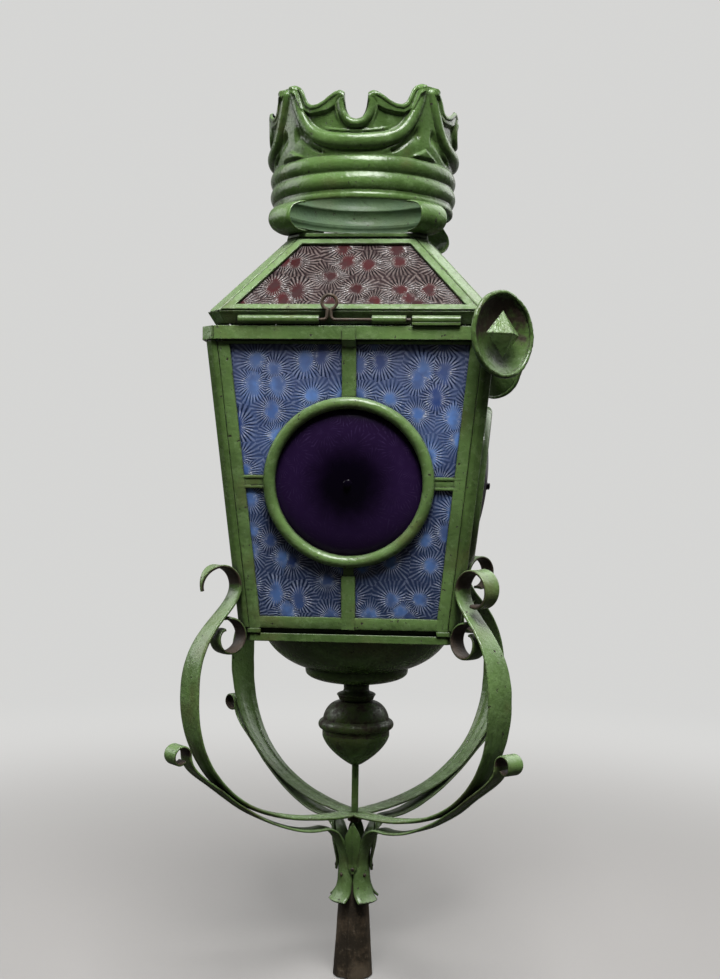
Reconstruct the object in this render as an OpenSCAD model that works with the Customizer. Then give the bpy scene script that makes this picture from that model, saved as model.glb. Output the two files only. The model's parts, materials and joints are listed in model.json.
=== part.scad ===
// Processional lantern: a glazed head with a lifting roof, a crown chimney,
// four scrolled arms and a tapered socket that takes a carrying pole.
// Millimetres, +Z up, origin at the centre of the socket's mouth, front towards -Y.

/* [Socket] */
// Outer radius of the socket at its mouth
socket_r = 16.8; // [16.4:0.1:19]
// Outer radius of the socket at its top
socket_top_r = 10.7; // [9.6:0.1:12]
// Height of the socket
socket_h = 95; // [88:1:110]
// Wall of the rolled socket at its top
socket_wall = 1.3; // [0.8:0.1:2]
// Radius of the straight bore for the pole
pole_r = 14.2; // [12:0.1:14.4]
// Length of the straight bore for the pole
pole_fit_h = 20; // [12:1:24]
// Width of the pointed leaves on the socket
leaf_w = 13.6; // [9:0.2:14.4]
// Thickness of the pointed leaves
leaf_t = 1.4; // [1:0.1:2]
// Radius of the rivet heads
rivet_r = 1.7; // [1.2:0.1:2.2]

/* [Arms] */
// Height of the crossing of the arm straps
cross_z = 134; // [128:1:142]
// Thickness of the arm straps
strap_t = 2.4; // [1.6:0.1:3]
// Width of the arm straps at the bulge
strap_w = 25; // [18:0.5:30]
// Width of the arm straps at both ends
strap_end_w = 16; // [12:0.5:20]
// Reach of the arms from the axis
bulge_r = 165; // [156:1:178]
// Height of the arms' widest point
bulge_z = 250; // [242:1:258]
// Radius of the arms' top scrolls
scroll_r = 16.5; // [13:0.5:19]
// Height of the top scrolls above the lantern's floor
scroll_rise = 33; // [29:1:40]
// Thickness of the lower straps
lower_t = 2; // [1.4:0.1:2.4]
// Width of the lower straps
lower_w = 15; // [11:0.5:18]
// Width of the flared leaf at the foot of a lower strap
flare_w = 20.6; // [15:0.2:24]
// Radius of the curl at the outer end of a lower strap
curl_r = 7.5; // [6:0.5:9]
// Radius of the corner scrolls under the body
corner_scroll_r = 15.2; // [12:0.2:16]
// Width of the corner scrolls
corner_scroll_w = 14; // [10:0.5:18]

/* [Underside] */
// Radius of the centre rod
rod_r = 2.9; // [2.2:0.1:4]
// Height of the finial's lower tip
finial_z = 175; // [168:1:182]
// Height of the finial's lower half
finial_lower_h = 26.5; // [22:0.5:30]
// Height of the finial's upper half
finial_upper_h = 26.5; // [22:0.5:30]
// Radius of the finial at its seam
finial_r = 28; // [23:0.5:32]
// How far the bead stands out from the finial
bead_out = 3.5; // [2:0.5:5]
// Height of the turned collar above the finial
collar_h = 15.3; // [12:0.1:18]
// Radius of the collar's lip
collar_r = 16.3; // [14:0.1:19]
// Radius of the collar's neck
neck_r = 10.4; // [8:0.1:12]
// Height of the saucer step
step_h = 13.4; // [10:0.1:16]
// Radius of the saucer step
step_r = 42.7; // [36:0.1:48]
// Height of the bowl
bowl_h = 34.3; // [28:0.1:38]
// Radius of the bowl's rim
bowl_r = 78; // [70:0.5:80]
// Thickness of the spun sheet
sheet_t = 1.5; // [1:0.1:2]

/* [Body] */
// Width of the body across the posts at the floor
body_bottom_w = 172; // [168:1:180]
// Width of the body across the posts at the top
body_top_w = 220; // [206:1:230]
// Height of the posts
body_h = 221; // [205:1:240]
// Height of the base tray's skirt
tray_h = 6.3; // [5:0.1:9]
// Inset of the base tray behind the posts
tray_inset = 1.5; // [1:0.1:2.5]
// Thickness of the floor plate
floor_t = 3.7; // [2.5:0.1:5]
// Depth of the dark slot between the floor and the tray
slot_depth = 6; // [3:0.5:8]
// Width of each leg of the angle posts
post_w = 9; // [7.5:0.1:10]
// Thickness of the angle posts
post_t = 2.5; // [1.5:0.1:3]
// Flat cut along the corner of each post
post_chamfer = 5; // [3:0.1:6]
// Groove between a post and the glazing frame
groove_w = 0.2; // [0.1:0.1:2.5]
// Width of the glazing frame's strips
strip_w = 9.2; // [7:0.1:11]
// Width of the upright glazing bars
bar_w = 11; // [7:0.1:13]
// Width of the level glazing bars
level_bar_w = 10.2; // [7:0.1:13]
// Height of the top rails
rail_h = 10.5; // [8:0.1:14]
// Depth of the top rails
rail_d = 10; // [8:0.1:12]
// How far the top rails stand out from the posts
rail_out = 3; // [2:0.1:4]
// Corner cut of the top rails
rail_chamfer = 9; // [7:0.1:9.6]

/* [Glass] */
// Outer radius of the lens rings
ring_r = 65.5; // [58:0.5:67]
// Width of the lens rings
ring_w = 9.2; // [7:0.1:11]
// How far the lens rings stand out from the face
ring_out = 5; // [3.5:0.1:6]
// Rise of the lens dome above the face
lens_rise = 8; // [5:0.5:11]
// Thickness of the glass
glass_t = 2.5; // [1.8:0.1:3]

/* [Roof] */
// Gap between the closed roof and the top rails
lid_gap = 2.2; // [1.2:0.1:4]
// Height of the roof's rim
rim_h = 9.3; // [8.5:0.1:12]
// How far the rim slopes inwards
rim_slope = 5.5; // [4:0.1:6.5]
// Thickness of the rim
rim_t = 3; // [2:0.1:4]
// Inset of the roof's eave behind the top rails
eave_in = 3; // [2:0.1:6]
// Width of the roof at its top
roof_top_w = 112; // [104:1:122]
// Height of the roof from eave to top
roof_h = 66; // [56:1:76]
// Corner cut of the roof, which the hip strips cover
hip_cut = 10; // [7:0.1:12]
// Thickness of the roof's strips
hip_t = 2.5; // [1.6:0.1:3]
// Radius of the smoke hole
smoke_r = 42; // [30:1:44]

/* [Crown] */
// Height of the legs that carry the crown
leg_h = 24; // [20:0.5:28]
// Width of the crown's legs
leg_w = 24; // [16:0.5:30]
// Thickness of the crown's sheet
crown_t = 1.8; // [1.2:0.1:2.4]
// Radius of the crown's lowest band
crown_r = 76; // [72:0.5:80]
// Height of the crown to its highest points
crown_h = 95; // [86:1:104]
// Height of the crown's plain band
band_h = 7; // [5:0.5:9]
// Height of each rib round the crown
rib_h = 13.5; // [10:0.5:15]
// How far the ribs stand out
rib_out = 3.5; // [2:0.5:5]
// Half width of the U notch in each festoon
notch_r = 10.3; // [9:0.1:11.5]

/* [Latch] */
// Radius of the bolt's wire
bolt_r = 1.3; // [1:0.05:1.5]
// Outer radius of the bolt's guides and keeper
guide_r = 3.4; // [2.8:0.1:3.6]
// Left end of the long guide
guide_x0 = -84; // [-92:1:-70]
// Right end of the long guide
guide_x1 = -22.6; // [-32:0.2:-22.6]
// Left end of the short guide
guide_x2 = 17.4; // [17.4:0.2:22]
// Right end of the short guide
guide_x3 = 43; // [36:1:44]
// Left end of the keeper
keeper_x0 = 47.6; // [47.2:0.2:50]
// Right end of the keeper
keeper_x1 = 83.7; // [76:0.1:90]
// Radius of the finger loop, to the middle of the wire
loop_r = 5.6; // [4.5:0.1:6]
// Height of the finger loop's centre above the bolt
loop_rise = 13.2; // [11:0.2:15]
// Place of the finger loop along the bolt
loop_x = -15; // [-16:0.5:-14]

/* [Hinge] */
// Radius of the hinge's knuckles
knuckle_r = 3.6; // [3:0.1:4.2]
// Radius of the hinge's pin
pin_r = 1.6; // [1.2:0.1:2]
// Length of each knuckle
knuckle_l = 26; // [18:1:34]

/* [Rosettes] */
// Radius of the rosette dishes
dish_r = 32; // [26:0.5:34]
// Depth of the rosette dishes
dish_depth = 9; // [6:0.5:12]
// Side of the square stud
stud_w = 25; // [16:0.5:28]
// Height of the pyramid on the stud
stud_h = 10; // [7:0.5:14]

/* [Candle] */
// Radius of the candle
candle_r = 11; // [9:0.5:12.5]
// Depth of the candle cup
cup_depth = 28; // [20:1:36]
// Radius of the drip pan
pan_r = 36; // [30:1:42]

/* [Hidden] */
$fn = 64;
// Small running clearance and the gap left at brazed seams
run_gap = 0.06;
seam_gap = 0.15;
far = 400;
path_steps = 22;

// Heights, stacked from the socket's mouth upwards
seam_z = finial_z + finial_lower_h;
collar_z = seam_z + finial_upper_h;
step_z = collar_z + collar_h;
bowl_z = step_z + step_h;
tray_under_z = bowl_z + bowl_h;
tray_top_z = tray_under_z + sheet_t;
tray_z = tray_top_z - tray_h;
floor_z = tray_top_z + floor_t;
post_top_z = floor_z + body_h;
rail_top_z = post_top_z + rail_h;
rim_z = rail_top_z + lid_gap;
eave_z = rim_z + rim_h;
roof_top_z = eave_z + roof_h;
top_ring_t = 3;
leg_z = roof_top_z + top_ring_t;
crown_z = leg_z + leg_h;

// Half widths and slopes of the body and the roof
half_bottom = body_bottom_w / 2;
half_top = body_top_w / 2;
face_tilt = atan((half_top - half_bottom) / body_h);
face_len = body_h / cos(face_tilt);
corner_tilt = atan(sqrt(2) * (half_top - half_bottom) / body_h);
half_tray = half_bottom - tray_inset;
half_rail = half_top + rail_out;
half_eave = half_rail - eave_in;
half_roof_top = roof_top_w / 2;
roof_tilt = atan((half_eave - half_roof_top) / roof_h);
roof_len = roof_h / cos(roof_tilt);
hip_run = sqrt(2) * (half_eave - half_roof_top);
hip_tilt = atan(hip_run / roof_h);
hip_len = roof_h / cos(hip_tilt);
ridge_cos = cos(roof_tilt) * cos(hip_tilt) / sqrt(2) + sin(roof_tilt) * sin(hip_tilt);
ridge_inset = hip_t * tan(acos(ridge_cos) / 2) + seam_gap / 2;

// Layers of a glazed face, measured outwards from the posts' outer plane
strip_front = -0.6;
strip_back = -3;
glass_gap = 0.1;
pane_front = strip_back - glass_gap;
pane_back = pane_front - glass_t;
came_t = 1.6;
came_back = pane_back - came_t;
web_t = 2;
pane_edge = 3.6;
pane_head = 1.6;
pane_inset = post_w + groove_w + pane_edge;
face_head = face_len - seam_gap + came_back * tan(face_tilt);
ring_place = 0.513;
ring_v = face_len * ring_place;
lens_flange_r = ring_r - ring_w / 2;
pane_hole_r = lens_flange_r + 2 * seam_gap;

// Latch and hinge lines
bolt_stand = 1;
bolt_rise = 2.2;
bolt_y = -(half_eave + bolt_r + bolt_stand);
bolt_z = rim_z + bolt_rise;
knuckle_gap = 0.3;
knuckle_stand = 0.4;
hinge_x = -(half_rail + knuckle_r + knuckle_stand);
hinge_z = rail_top_z + lid_gap / 2;
hinge_side = 3;

// Colours
paint = "darkolivegreen";
paint_light = "olivedrab";
iron = "#3b332c";
blue_glass = "steelblue";
red_glass = "#7a3b3f";
lens_glass = "#2a1440";
wire = "#4a3a28";

// Points along curves in a vertical plane: [distance from the axis, height]
function mix(a, b, t) = a + (b - a) * t;
function bezier(a, b, c, d, t) =
    pow(1 - t, 3) * a + 3 * t * pow(1 - t, 2) * b + 3 * t * t * (1 - t) * c + t * t * t * d;
function curve(a, b, c, d, steps = path_steps) = [for (i = [0 : steps]) bezier(a, b, c, d, i / steps)];
function polar(r, a) = r * [cos(a), sin(a)];
function spiral(c, r0, r1, a0, a1, steps = path_steps) =
    [for (i = [0 : steps]) c + polar(mix(r0, r1, i / steps), mix(a0, a1, i / steps))];
function tail(p) = [for (i = [1 : len(p) - 1]) p[i]];
function unit(v) = v / norm(v);
function side(p, i) =
    let (v = unit(p[min(i + 1, len(p) - 1)] - p[max(i - 1, 0)])) [-v[1], v[0]];
// Outline of a strip of thickness t whose middle follows the points p
function ribbon(p, t) = concat(
    [for (i = [0 : len(p) - 1]) p[i] + side(p, i) * t / 2],
    [for (i = [len(p) - 1 : -1 : 0]) p[i] - side(p, i) * t / 2]);

// A half outline on the positive side, with its mirror image added
function mirrored(p) =
    concat(p, [for (i = [len(p) - 1 : -1 : 0]) if (p[i][0] > 0) [-p[i][0], p[i][1]]]);

// Distances that several pieces share
function body_half(z) = mix(half_bottom, half_top, (z - floor_z) / body_h);
function post_corner(z) = (2 * body_half(z) - post_chamfer) / sqrt(2);
function socket_out(z) = mix(socket_r, socket_top_r, z / socket_h);
function face_half(v) = half_bottom + v * sin(face_tilt);
function roof_half(v) = half_eave - v * sin(roof_tilt) - hip_cut;

// A square with cut corners, in plan
module cut_square(half, cut) {
    k = half - cut;
    polygon([[half, -k], [half, k], [k, half], [-k, half],
        [-half, k], [-half, -k], [-k, -half], [k, -half]]);
}

// A bent strip in the vertical plane through +X, w wide
module bent_strip(p, t, w) {
    rotate([90, 0, 0]) linear_extrude(w, center = true) polygon(ribbon(p, t));
}

// A prism along +X with an outline of [sideways, height] points
module side_prism(points) {
    rotate([90, 0, 90]) linear_extrude(far) polygon(points);
}

// Places a child on each of the four sides, or on one side
module on_side(i) { rotate([0, 0, 90 * i]) children(); }
module on_sides() { for (i = [0 : 3]) on_side(i) children(); }

// Frame of a glazed body face: +Z runs up the slope, -Y points outwards
module on_face(i) {
    on_side(i) translate([0, -half_bottom, floor_z]) rotate([face_tilt, 0, 0]) children();
}
// Frame of a roof face, with the same axes
module on_roof(i) {
    on_side(i) translate([0, -half_eave, eave_z]) rotate([-roof_tilt, 0, 0]) children();
}
// A flat layer of a face from depth n0 out to n1
module layer(n0, n1) {
    translate([0, -n0, 0]) rotate([90, 0, 0]) linear_extrude(n1 - n0) children();
}

// Socket and its leaves

module pole_socket() {
    bore_top = socket_top_r - socket_wall;
    color(iron) rotate_extrude() polygon([
        [pole_r, 0], [socket_r, 0], [socket_top_r, socket_h], [bore_top, socket_h], [pole_r, pole_fit_h]]);
}

// Lower straps reach this far down over the socket's top, and the leaves on them less far
seat_drop = 15;
leaf_lap = 8;
leaf_root_z = socket_h - leaf_lap;
leaf_tip_gap = 3;
leaf_tip_z = cross_z - strap_t / 2 - leaf_tip_gap;
leaf_belly_z = mix(leaf_root_z, leaf_tip_z, 0.66);
leaf_root_w = 7;
leaf_under = 4 * seam_gap + lower_t;
leaf_seat = leaf_under + leaf_t / 2;
leaf_root_r = socket_top_r + leaf_seat;
leaf_path = concat(
    [[socket_out(leaf_root_z) + leaf_seat, leaf_root_z]],
    curve([socket_out(socket_h) + leaf_seat, socket_h], [leaf_root_r + 1, socket_h + 8],
        [leaf_root_r + 6, leaf_belly_z], [leaf_root_r + 3, leaf_tip_z], 10));

module socket_leaf() {
    intersection() {
        bent_strip(leaf_path, leaf_t, leaf_w + 2);
        side_prism(mirrored([[leaf_root_w / 2, leaf_root_z - leaf_t], [leaf_root_w / 2, socket_h],
            [leaf_w / 2, leaf_belly_z], [0, leaf_tip_z + leaf_t]]));
    }
}

module socket_leaves() { color(paint) on_sides() socket_leaf(); }

rivet_h = 1;
rivet_taper = 0.6;
leaf_rivet_up = 4;
strap_rivet_up = 5;
module rivet(seat, z) {
    translate([socket_out(z) + seat + seam_gap, 0, z]) rotate([0, 90, 0])
        cylinder(r1 = rivet_r, r2 = rivet_r * rivet_taper, h = rivet_h);
}

module socket_rivets() {
    color(iron) on_sides() rivet(leaf_under + leaf_t, leaf_root_z + leaf_rivet_up);
    color(iron) rotate([0, 0, 45]) on_sides()
        rivet(seam_gap + lower_t, lower_seat_z + strap_rivet_up);
}

// Arms

scroll_z = floor_z + scroll_rise;
scroll_touch = post_corner(scroll_z) + seam_gap + strap_t / 2;
arm_a = [0, cross_z];
arm_b = [0.73 * bulge_r, cross_z - 1];
arm_c = [bulge_r + 3, mix(cross_z, bulge_z, 0.48)];
arm_d = [bulge_r, bulge_z];
arm_upper_pull = 50;
arm_scroll_pull = 21;
scroll_close = 0.92;
scroll_sweep = 192;
// Where the strap's width starts to grow above the crossing, and ends below the scroll
taper_low = 6;
taper_high = 14;
arm_path = concat(
    curve(arm_a, arm_b, arm_c, arm_d),
    tail(curve(arm_d, [bulge_r, bulge_z + arm_upper_pull], [scroll_touch, scroll_z - arm_scroll_pull],
        [scroll_touch, scroll_z])),
    tail(spiral([scroll_touch + scroll_r, scroll_z], scroll_r, scroll_close * scroll_r,
        180, 180 - scroll_sweep)));

module arm_strap(turn) {
    e = strap_end_w / 2;
    b = strap_w / 2;
    top = scroll_z + scroll_r + strap_t;
    color(paint_light) rotate([0, 0, turn]) difference() {
        intersection() {
            bent_strip(arm_path, strap_t, strap_w + 2);
            side_prism(mirrored([[e, cross_z - 2 * strap_t], [e, cross_z + taper_low], [b, bulge_z],
                [e, scroll_z - taper_high], [e, top]]));
            linear_extrude(2 * far)
                polygon([[seam_gap, 0], [far, far - seam_gap], [far, seam_gap - far]]);
        }
        cylinder(r = rod_r + seam_gap, h = far);
    }
}

lower_seat_z = socket_h - seat_drop;
lower_seat = seam_gap + lower_t / 2;
lower_bend = [38, cross_z - 7];
flare_tip = [21, lower_seat_z - 16];
bend_run = 2;
curl_c = [bulge_r + curl_r + 2, mix(cross_z, bulge_z, 0.6)];
// The lower strap lies against the arm halfway along the arm's first curve
touch_dir = unit(arm_d + arm_c - arm_b - arm_a);
touch = bezier(arm_a, arm_b, arm_c, arm_d, 0.5)
    + [touch_dir[1], -touch_dir[0]] * ((strap_t + lower_t) / 2 + seam_gap);
// The strap's middle where it lies on the socket
function lower_hug(z) = [socket_out(z) + lower_seat, z];
// Level where the flat strap goes over into its foot, which is bent round the socket
bend_top = lower_bend + [bend_run, 0];
bend_end = lower_bend - [bend_run, 0];
bend_joint = [bend_run / 2, 0];
lower_path = concat(
    spiral(curl_c, 0.84 * curl_r, curl_r, -135, 180, 26),
    tail(curve(curl_c - [curl_r, 0], curl_c - [curl_r, 14], touch + 26 * touch_dir, touch, 12)),
    tail(curve(touch, touch - 34 * touch_dir, bend_top + [26, 0], bend_top, 12)),
    [lower_bend + bend_joint, lower_bend - bend_joint / 2]);
foot_path = concat(
    [lower_bend + bend_joint, lower_bend - bend_joint],
    curve(bend_end, bend_end - [14, 0], [socket_top_r + lower_seat + 0.5, socket_h + 14],
        lower_hug(socket_h - 2), 12),
    curve(lower_hug(lower_seat_z), [socket_out(lower_seat_z) + 2, lower_seat_z - 7],
        flare_tip + [-5, 4], flare_tip, 8));
// Each foot takes a little less than a quarter of the turn
foot_turn = 43.5;

module lower_strap(turn) {
    w = lower_w / 2;
    f = flare_w / 2;
    waist = lower_w * 0.44;
    foot_z = flare_tip[1];
    color(paint_light) rotate([0, 0, turn]) {
        bent_strip(lower_path, lower_t, lower_w);
        intersection() {
            rotate_extrude() polygon(ribbon(foot_path, lower_t));
            side_prism(mirrored([[f, foot_z - 2 * lower_t], [f, foot_z + lower_t],
                [f * 0.86, lower_seat_z - lower_t], [f, lower_seat_z + lower_t], [f, socket_h],
                [waist, socket_h + 8], [waist, lower_bend[1] - 10], [w, lower_bend[1] - 2 * lower_t],
                [w, cross_z]]));
            linear_extrude(far) polygon([[0, 0], polar(far, foot_turn), polar(far, -foot_turn)]);
        }
    }
}

tray_cut = 8;
// The scrolls rest against the lower corners of the posts
corner_scroll_z = mix(tray_z, tray_top_z, 0.55);
corner_scroll_out = corner_scroll_r + lower_t / 2;
corner_scroll_close = 0.45;
corner_scroll_c = [post_corner(floor_z) + seam_gap
    + sqrt(pow(corner_scroll_out, 2) - pow(floor_z - corner_scroll_z, 2)), corner_scroll_z];
corner_scroll_path = concat(
    spiral(corner_scroll_c, corner_scroll_r, corner_scroll_r, 78, 180),
    tail(spiral(corner_scroll_c, corner_scroll_r, corner_scroll_close * corner_scroll_r, 180, 430, 30)));

module corner_scrolls() {
    color(paint) rotate([0, 0, 45]) on_sides() bent_strip(corner_scroll_path, lower_t, corner_scroll_w);
}

// Rod, finial and bowl

nut_h = 5;
nut_r = 6;
rod_hole = rod_r + seam_gap;
nut_z = cross_z - strap_t / 2 - nut_h - seam_gap;
cup_z = floor_z + sheet_t + 2 * seam_gap;
cup_floor = 4;
cup_floor_t = 0.8;
rod_below = 2;
rod_top_z = cup_z + cup_floor - cup_floor_t - 0.2;

module center_rod() {
    color(paint) translate([0, 0, nut_z - rod_below])
        cylinder(r = rod_r, h = rod_top_z - nut_z + rod_below);
}

module rod_nut() {
    color(iron) translate([0, 0, nut_z]) difference() {
        cylinder(r = nut_r, h = nut_h, $fn = 6);
        translate([0, 0, -1]) cylinder(r = rod_hole, h = nut_h + 2);
    }
}

// A spun shell whose sheet follows the points p
module spun(p, t) { rotate_extrude() polygon(ribbon(p, t)); }

module finial_lower() {
    half = sheet_t / 2;
    color(paint) spun(concat(
        [[rod_hole, finial_z + half]],
        curve([rod_r + 1.5, finial_z + half], [finial_r * 0.46, finial_z + finial_lower_h * 0.22],
            [finial_r * 0.87, finial_z + finial_lower_h * 0.56], [finial_r - half, seam_z - 2], 14),
        [[finial_r - half, seam_z - seam_gap]]), sheet_t);
}

module finial_upper() {
    half = sheet_t / 2;
    bead_z = seam_z + finial_upper_h * 0.28;
    bead_half = finial_upper_h * 0.17;
    color(paint) {
        spun(concat(
            [[finial_r - half, seam_z]],
            curve([finial_r - half, bead_z], [finial_r - half, seam_z + finial_upper_h * 0.72],
                [collar_r + 4, collar_z - half], [collar_r - 3, collar_z - half - seam_gap], 14),
            [[rod_hole, collar_z - half - seam_gap]]), sheet_t);
        translate([0, 0, bead_z]) rotate_extrude() polygon([[finial_r - sheet_t, -bead_half],
            [finial_r, -bead_half], [finial_r + bead_out, -bead_half / 3],
            [finial_r + bead_out, bead_half / 3], [finial_r - half, bead_half],
            [finial_r - sheet_t, bead_half]]);
    }
}

module finial_collar() {
    lip_z = collar_z + collar_h * 0.34;
    color(paint) rotate_extrude() polygon([[rod_hole, collar_z], [collar_r - 2.5, collar_z],
        [collar_r - 1, lip_z - 1], [collar_r, lip_z], [collar_r - 1.2, lip_z + 1.2], [neck_r + 1, lip_z + 3],
        [neck_r, collar_z + collar_h * 0.65], [neck_r, step_z - seam_gap], [rod_hole, step_z - seam_gap]]);
}

module bowl_step() {
    half = sheet_t / 2;
    color(paint) spun([[rod_hole, step_z + half], [neck_r + 2, step_z + half],
        [step_r * 0.63, step_z + step_h * 0.2], [step_r * 0.95, step_z + step_h * 0.52],
        [step_r - half, step_z + step_h * 0.75], [step_r - half, bowl_z - seam_gap]], sheet_t);
}

module bowl() {
    half = sheet_t / 2;
    rim_drop = tray_under_z - tray_z;
    rim_in = bowl_r - half;
    foot = step_r + 0.4;
    color(paint) spun(concat(
        [[rod_hole, bowl_z + half]],
        curve([foot, bowl_z + half], [mix(foot, rim_in, 0.44), bowl_z + bowl_h * 0.15],
            [mix(foot, rim_in, 0.84), bowl_z + bowl_h * 0.45], [rim_in, tray_under_z - rim_drop], 14),
        [[rim_in, tray_under_z - seam_gap]]), sheet_t);
}

// Base and body frame

module base_tray() {
    color(paint) difference() {
        translate([0, 0, tray_z]) linear_extrude(tray_h) cut_square(half_tray, tray_cut);
        translate([0, 0, tray_z - 1]) linear_extrude(tray_h - sheet_t + 1)
            cut_square(half_tray - sheet_t, tray_cut);
        translate([0, 0, tray_z]) cylinder(r = rod_hole, h = tray_h + 1);
    }
}

module floor_plate() {
    slot_half = half_bottom - 2 * post_w;
    color(paint) translate([0, 0, tray_top_z]) linear_extrude(floor_t) difference() {
        cut_square(half_bottom, tray_cut);
        on_sides() translate([-slot_half, -half_bottom - 1]) square([2 * slot_half, slot_depth + 1]);
        circle(r = rod_hole);
    }
}

module corner_post(turn) {
    k = post_chamfer - post_t * (2 - sqrt(2));
    color(paint) rotate([0, 0, turn]) intersection() {
        translate([half_bottom, half_bottom, floor_z]) rotate(a = corner_tilt, v = [-1, 1, 0])
            translate([0, 0, -post_w]) linear_extrude(body_h / cos(corner_tilt) + 2 * post_w) polygon([
                [0, -post_w], [0, -post_chamfer], [-post_chamfer, 0], [-post_w, 0], [-post_w, -post_t],
                [-post_t - k, -post_t], [-post_t, -post_t - k], [-post_t, -post_w]]);
        translate([0, 0, floor_z]) cylinder(r = far, h = body_h);
    }
}

module top_rails() {
    inner = half_rail - rail_d;
    color(paint_light) translate([0, 0, post_top_z]) linear_extrude(rail_h) {
        for (s = [-1, 1]) intersection() {
            cut_square(half_rail, rail_chamfer);
            translate([s * (half_rail - rail_d / 2), 0]) square([rail_d, 2 * half_rail], center = true);
        }
        for (s = [-1, 1]) translate([0, s * (half_rail - rail_d / 2)])
            square([2 * (inner - seam_gap), rail_d], center = true);
    }
}

// Glazing of the body faces

// The face between heights v0 and v1, drawn in from the post's corner line
module face_trapezoid(v0, v1, inset) {
    a = face_half(v0) - inset;
    b = face_half(v1) - inset;
    polygon([[-a, v0], [a, v0], [b, v1], [-b, v1]]);
}

// The strips of a face: an outer frame and four bars that stop at the lens ring
module face_strips(edge, upright, level, foot, head, hole) {
    inset = post_w + groove_w;
    difference() {
        union() {
            difference() {
                face_trapezoid(seam_gap, face_head, inset);
                face_trapezoid(foot, face_head - head, inset + edge);
            }
            intersection() {
                face_trapezoid(seam_gap, face_head, inset);
                union() {
                    translate([-upright / 2, 0]) square([upright, face_len]);
                    translate([-half_top, ring_v - level / 2]) square([2 * half_top, level]);
                }
            }
        }
        translate([0, ring_v]) circle(r = hole);
    }
}

head_w = 2.2;
head_web = 1.2;
cap_t = 1.4;
module glazing_bars(i) {
    cap_in = rail_out + seam_gap;
    color(paint_light) on_face(i) {
        layer(strip_back, strip_front)
            face_strips(strip_w, bar_w, level_bar_w, strip_w, head_w, ring_r + seam_gap);
        layer(pane_back - glass_gap, strip_back)
            face_strips(web_t, web_t, web_t, web_t, head_web, pane_hole_r);
        layer(came_back, pane_back - glass_gap)
            face_strips(strip_w - 1, bar_w - 4, level_bar_w - 4, strip_w - 1, head_w, lens_flange_r + 2);
        // The upright bar steps out in front of the top rail
        layer(strip_back, cap_in + cap_t) translate([-bar_w / 2, face_head - head_w])
            square([bar_w, head_w]);
    }
    // Its end laps over the rail, and stops short under the hinge on the left side
    cap_h = i == hinge_side ? rail_h * 0.4 : rail_h - 1.5;
    cap_y = -(half_rail + seam_gap + cap_t);
    color(paint_light) on_side(i) translate([-bar_w / 2, cap_y, post_top_z - head_w])
        cube([bar_w, cap_t, head_w + cap_h]);
}

module lens_ring(i) {
    tube = ring_w / 2;
    color(paint_light) on_face(i) translate([0, 0, ring_v]) rotate([90, 0, 0]) rotate_extrude()
        translate([ring_r - tube, 0]) {
            intersection() {
                translate([0, ring_out - tube]) circle(r = tube);
                translate([-tube, strip_back]) square([ring_w, far]);
            }
            translate([-tube, strip_back]) square([ring_w, ring_out - tube - strip_back]);
        }
}

// Each lens is a blown dome with a flange behind the ring and a small knob in the middle
knob_r = 3.2;
knob_h = 2.8;
lens_edge_in = 2.6;
module lens(i) {
    half = glass_t / 2;
    edge = ring_r - ring_w - lens_edge_in;
    base = pane_front - half;
    top = lens_rise - half;
    color(lens_glass) on_face(i) translate([0, 0, ring_v]) rotate([90, 0, 0]) {
        spun(concat([[0, top]], curve([1, top], [edge * 0.4, top], [edge * 0.8, mix(base, lens_rise, 0.45)],
            [edge, base], 12), [[lens_flange_r, base]]), glass_t);
        translate([0, 0, lens_rise - 0.2]) cylinder(r1 = knob_r, r2 = knob_r * 0.55, h = knob_h);
    }
}

module panes(i) {
    gap = web_t / 2 + seam_gap;
    color(blue_glass) on_face(i) layer(pane_back, pane_front) difference() {
        face_trapezoid(pane_edge, face_head - pane_head, pane_inset);
        translate([0, ring_v]) circle(r = pane_hole_r);
        translate([-gap, 0]) square([2 * gap, face_len]);
        translate([-half_top, ring_v - gap]) square([2 * half_top, 2 * gap]);
    }
}

// Roof

module roof_rim() {
    low = half_eave - rim_slope;
    function rim_scale(inset) = (low - inset) / (half_eave - inset);
    color(paint) difference() {
        translate([0, 0, eave_z]) mirror([0, 0, 1])
            linear_extrude(rim_h, scale = rim_scale(0)) cut_square(half_eave, hip_cut);
        translate([0, 0, eave_z + 0.01]) mirror([0, 0, 1])
            linear_extrude(rim_h + 0.1, scale = rim_scale(rim_t)) cut_square(half_eave - rim_t, hip_cut);
    }
}

module roof_hips() {
    r = (2 * half_eave - hip_cut) / sqrt(2);
    w = hip_cut * sqrt(2) - 2 * ridge_inset;
    color(paint_light) intersection() {
        rotate([0, 0, 45]) on_sides() translate([r, 0, eave_z]) rotate([0, -hip_tilt, 0])
            translate([-hip_t, -w / 2, -far / 20]) cube([hip_t, w, hip_len + far / 10]);
        translate([0, 0, eave_z + seam_gap]) cylinder(r = far, h = roof_h - 2 * seam_gap);
    }
}

// A roof face between slope heights v0 and v1, drawn in from its ridge line
module roof_trapezoid(v0, v1, inset) {
    a = roof_half(v0) - inset;
    b = roof_half(v1) - inset;
    polygon([[-a, v0], [a, v0], [b, v1], [-b, v1]]);
}

roof_foot = hip_t * tan(roof_tilt) + seam_gap;
roof_head = roof_len - seam_gap - hip_t * tan(roof_tilt);
roof_side_strip = 8;
roof_level_strip = 5.5;
module roof_frames() {
    color(paint_light) for (i = [0 : 3]) on_roof(i) layer(-hip_t, 0) difference() {
        roof_trapezoid(roof_foot, roof_head, ridge_inset);
        roof_trapezoid(roof_foot + roof_level_strip, roof_head - roof_level_strip, roof_side_strip);
    }
}

module roof_panes() {
    lap = 3;
    front = -hip_t - glass_gap;
    color(red_glass) for (i = [0 : 3]) on_roof(i) layer(front - glass_t, front)
        roof_trapezoid(roof_foot + lap + glass_t, roof_head - lap, roof_side_strip - lap);
}

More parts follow.
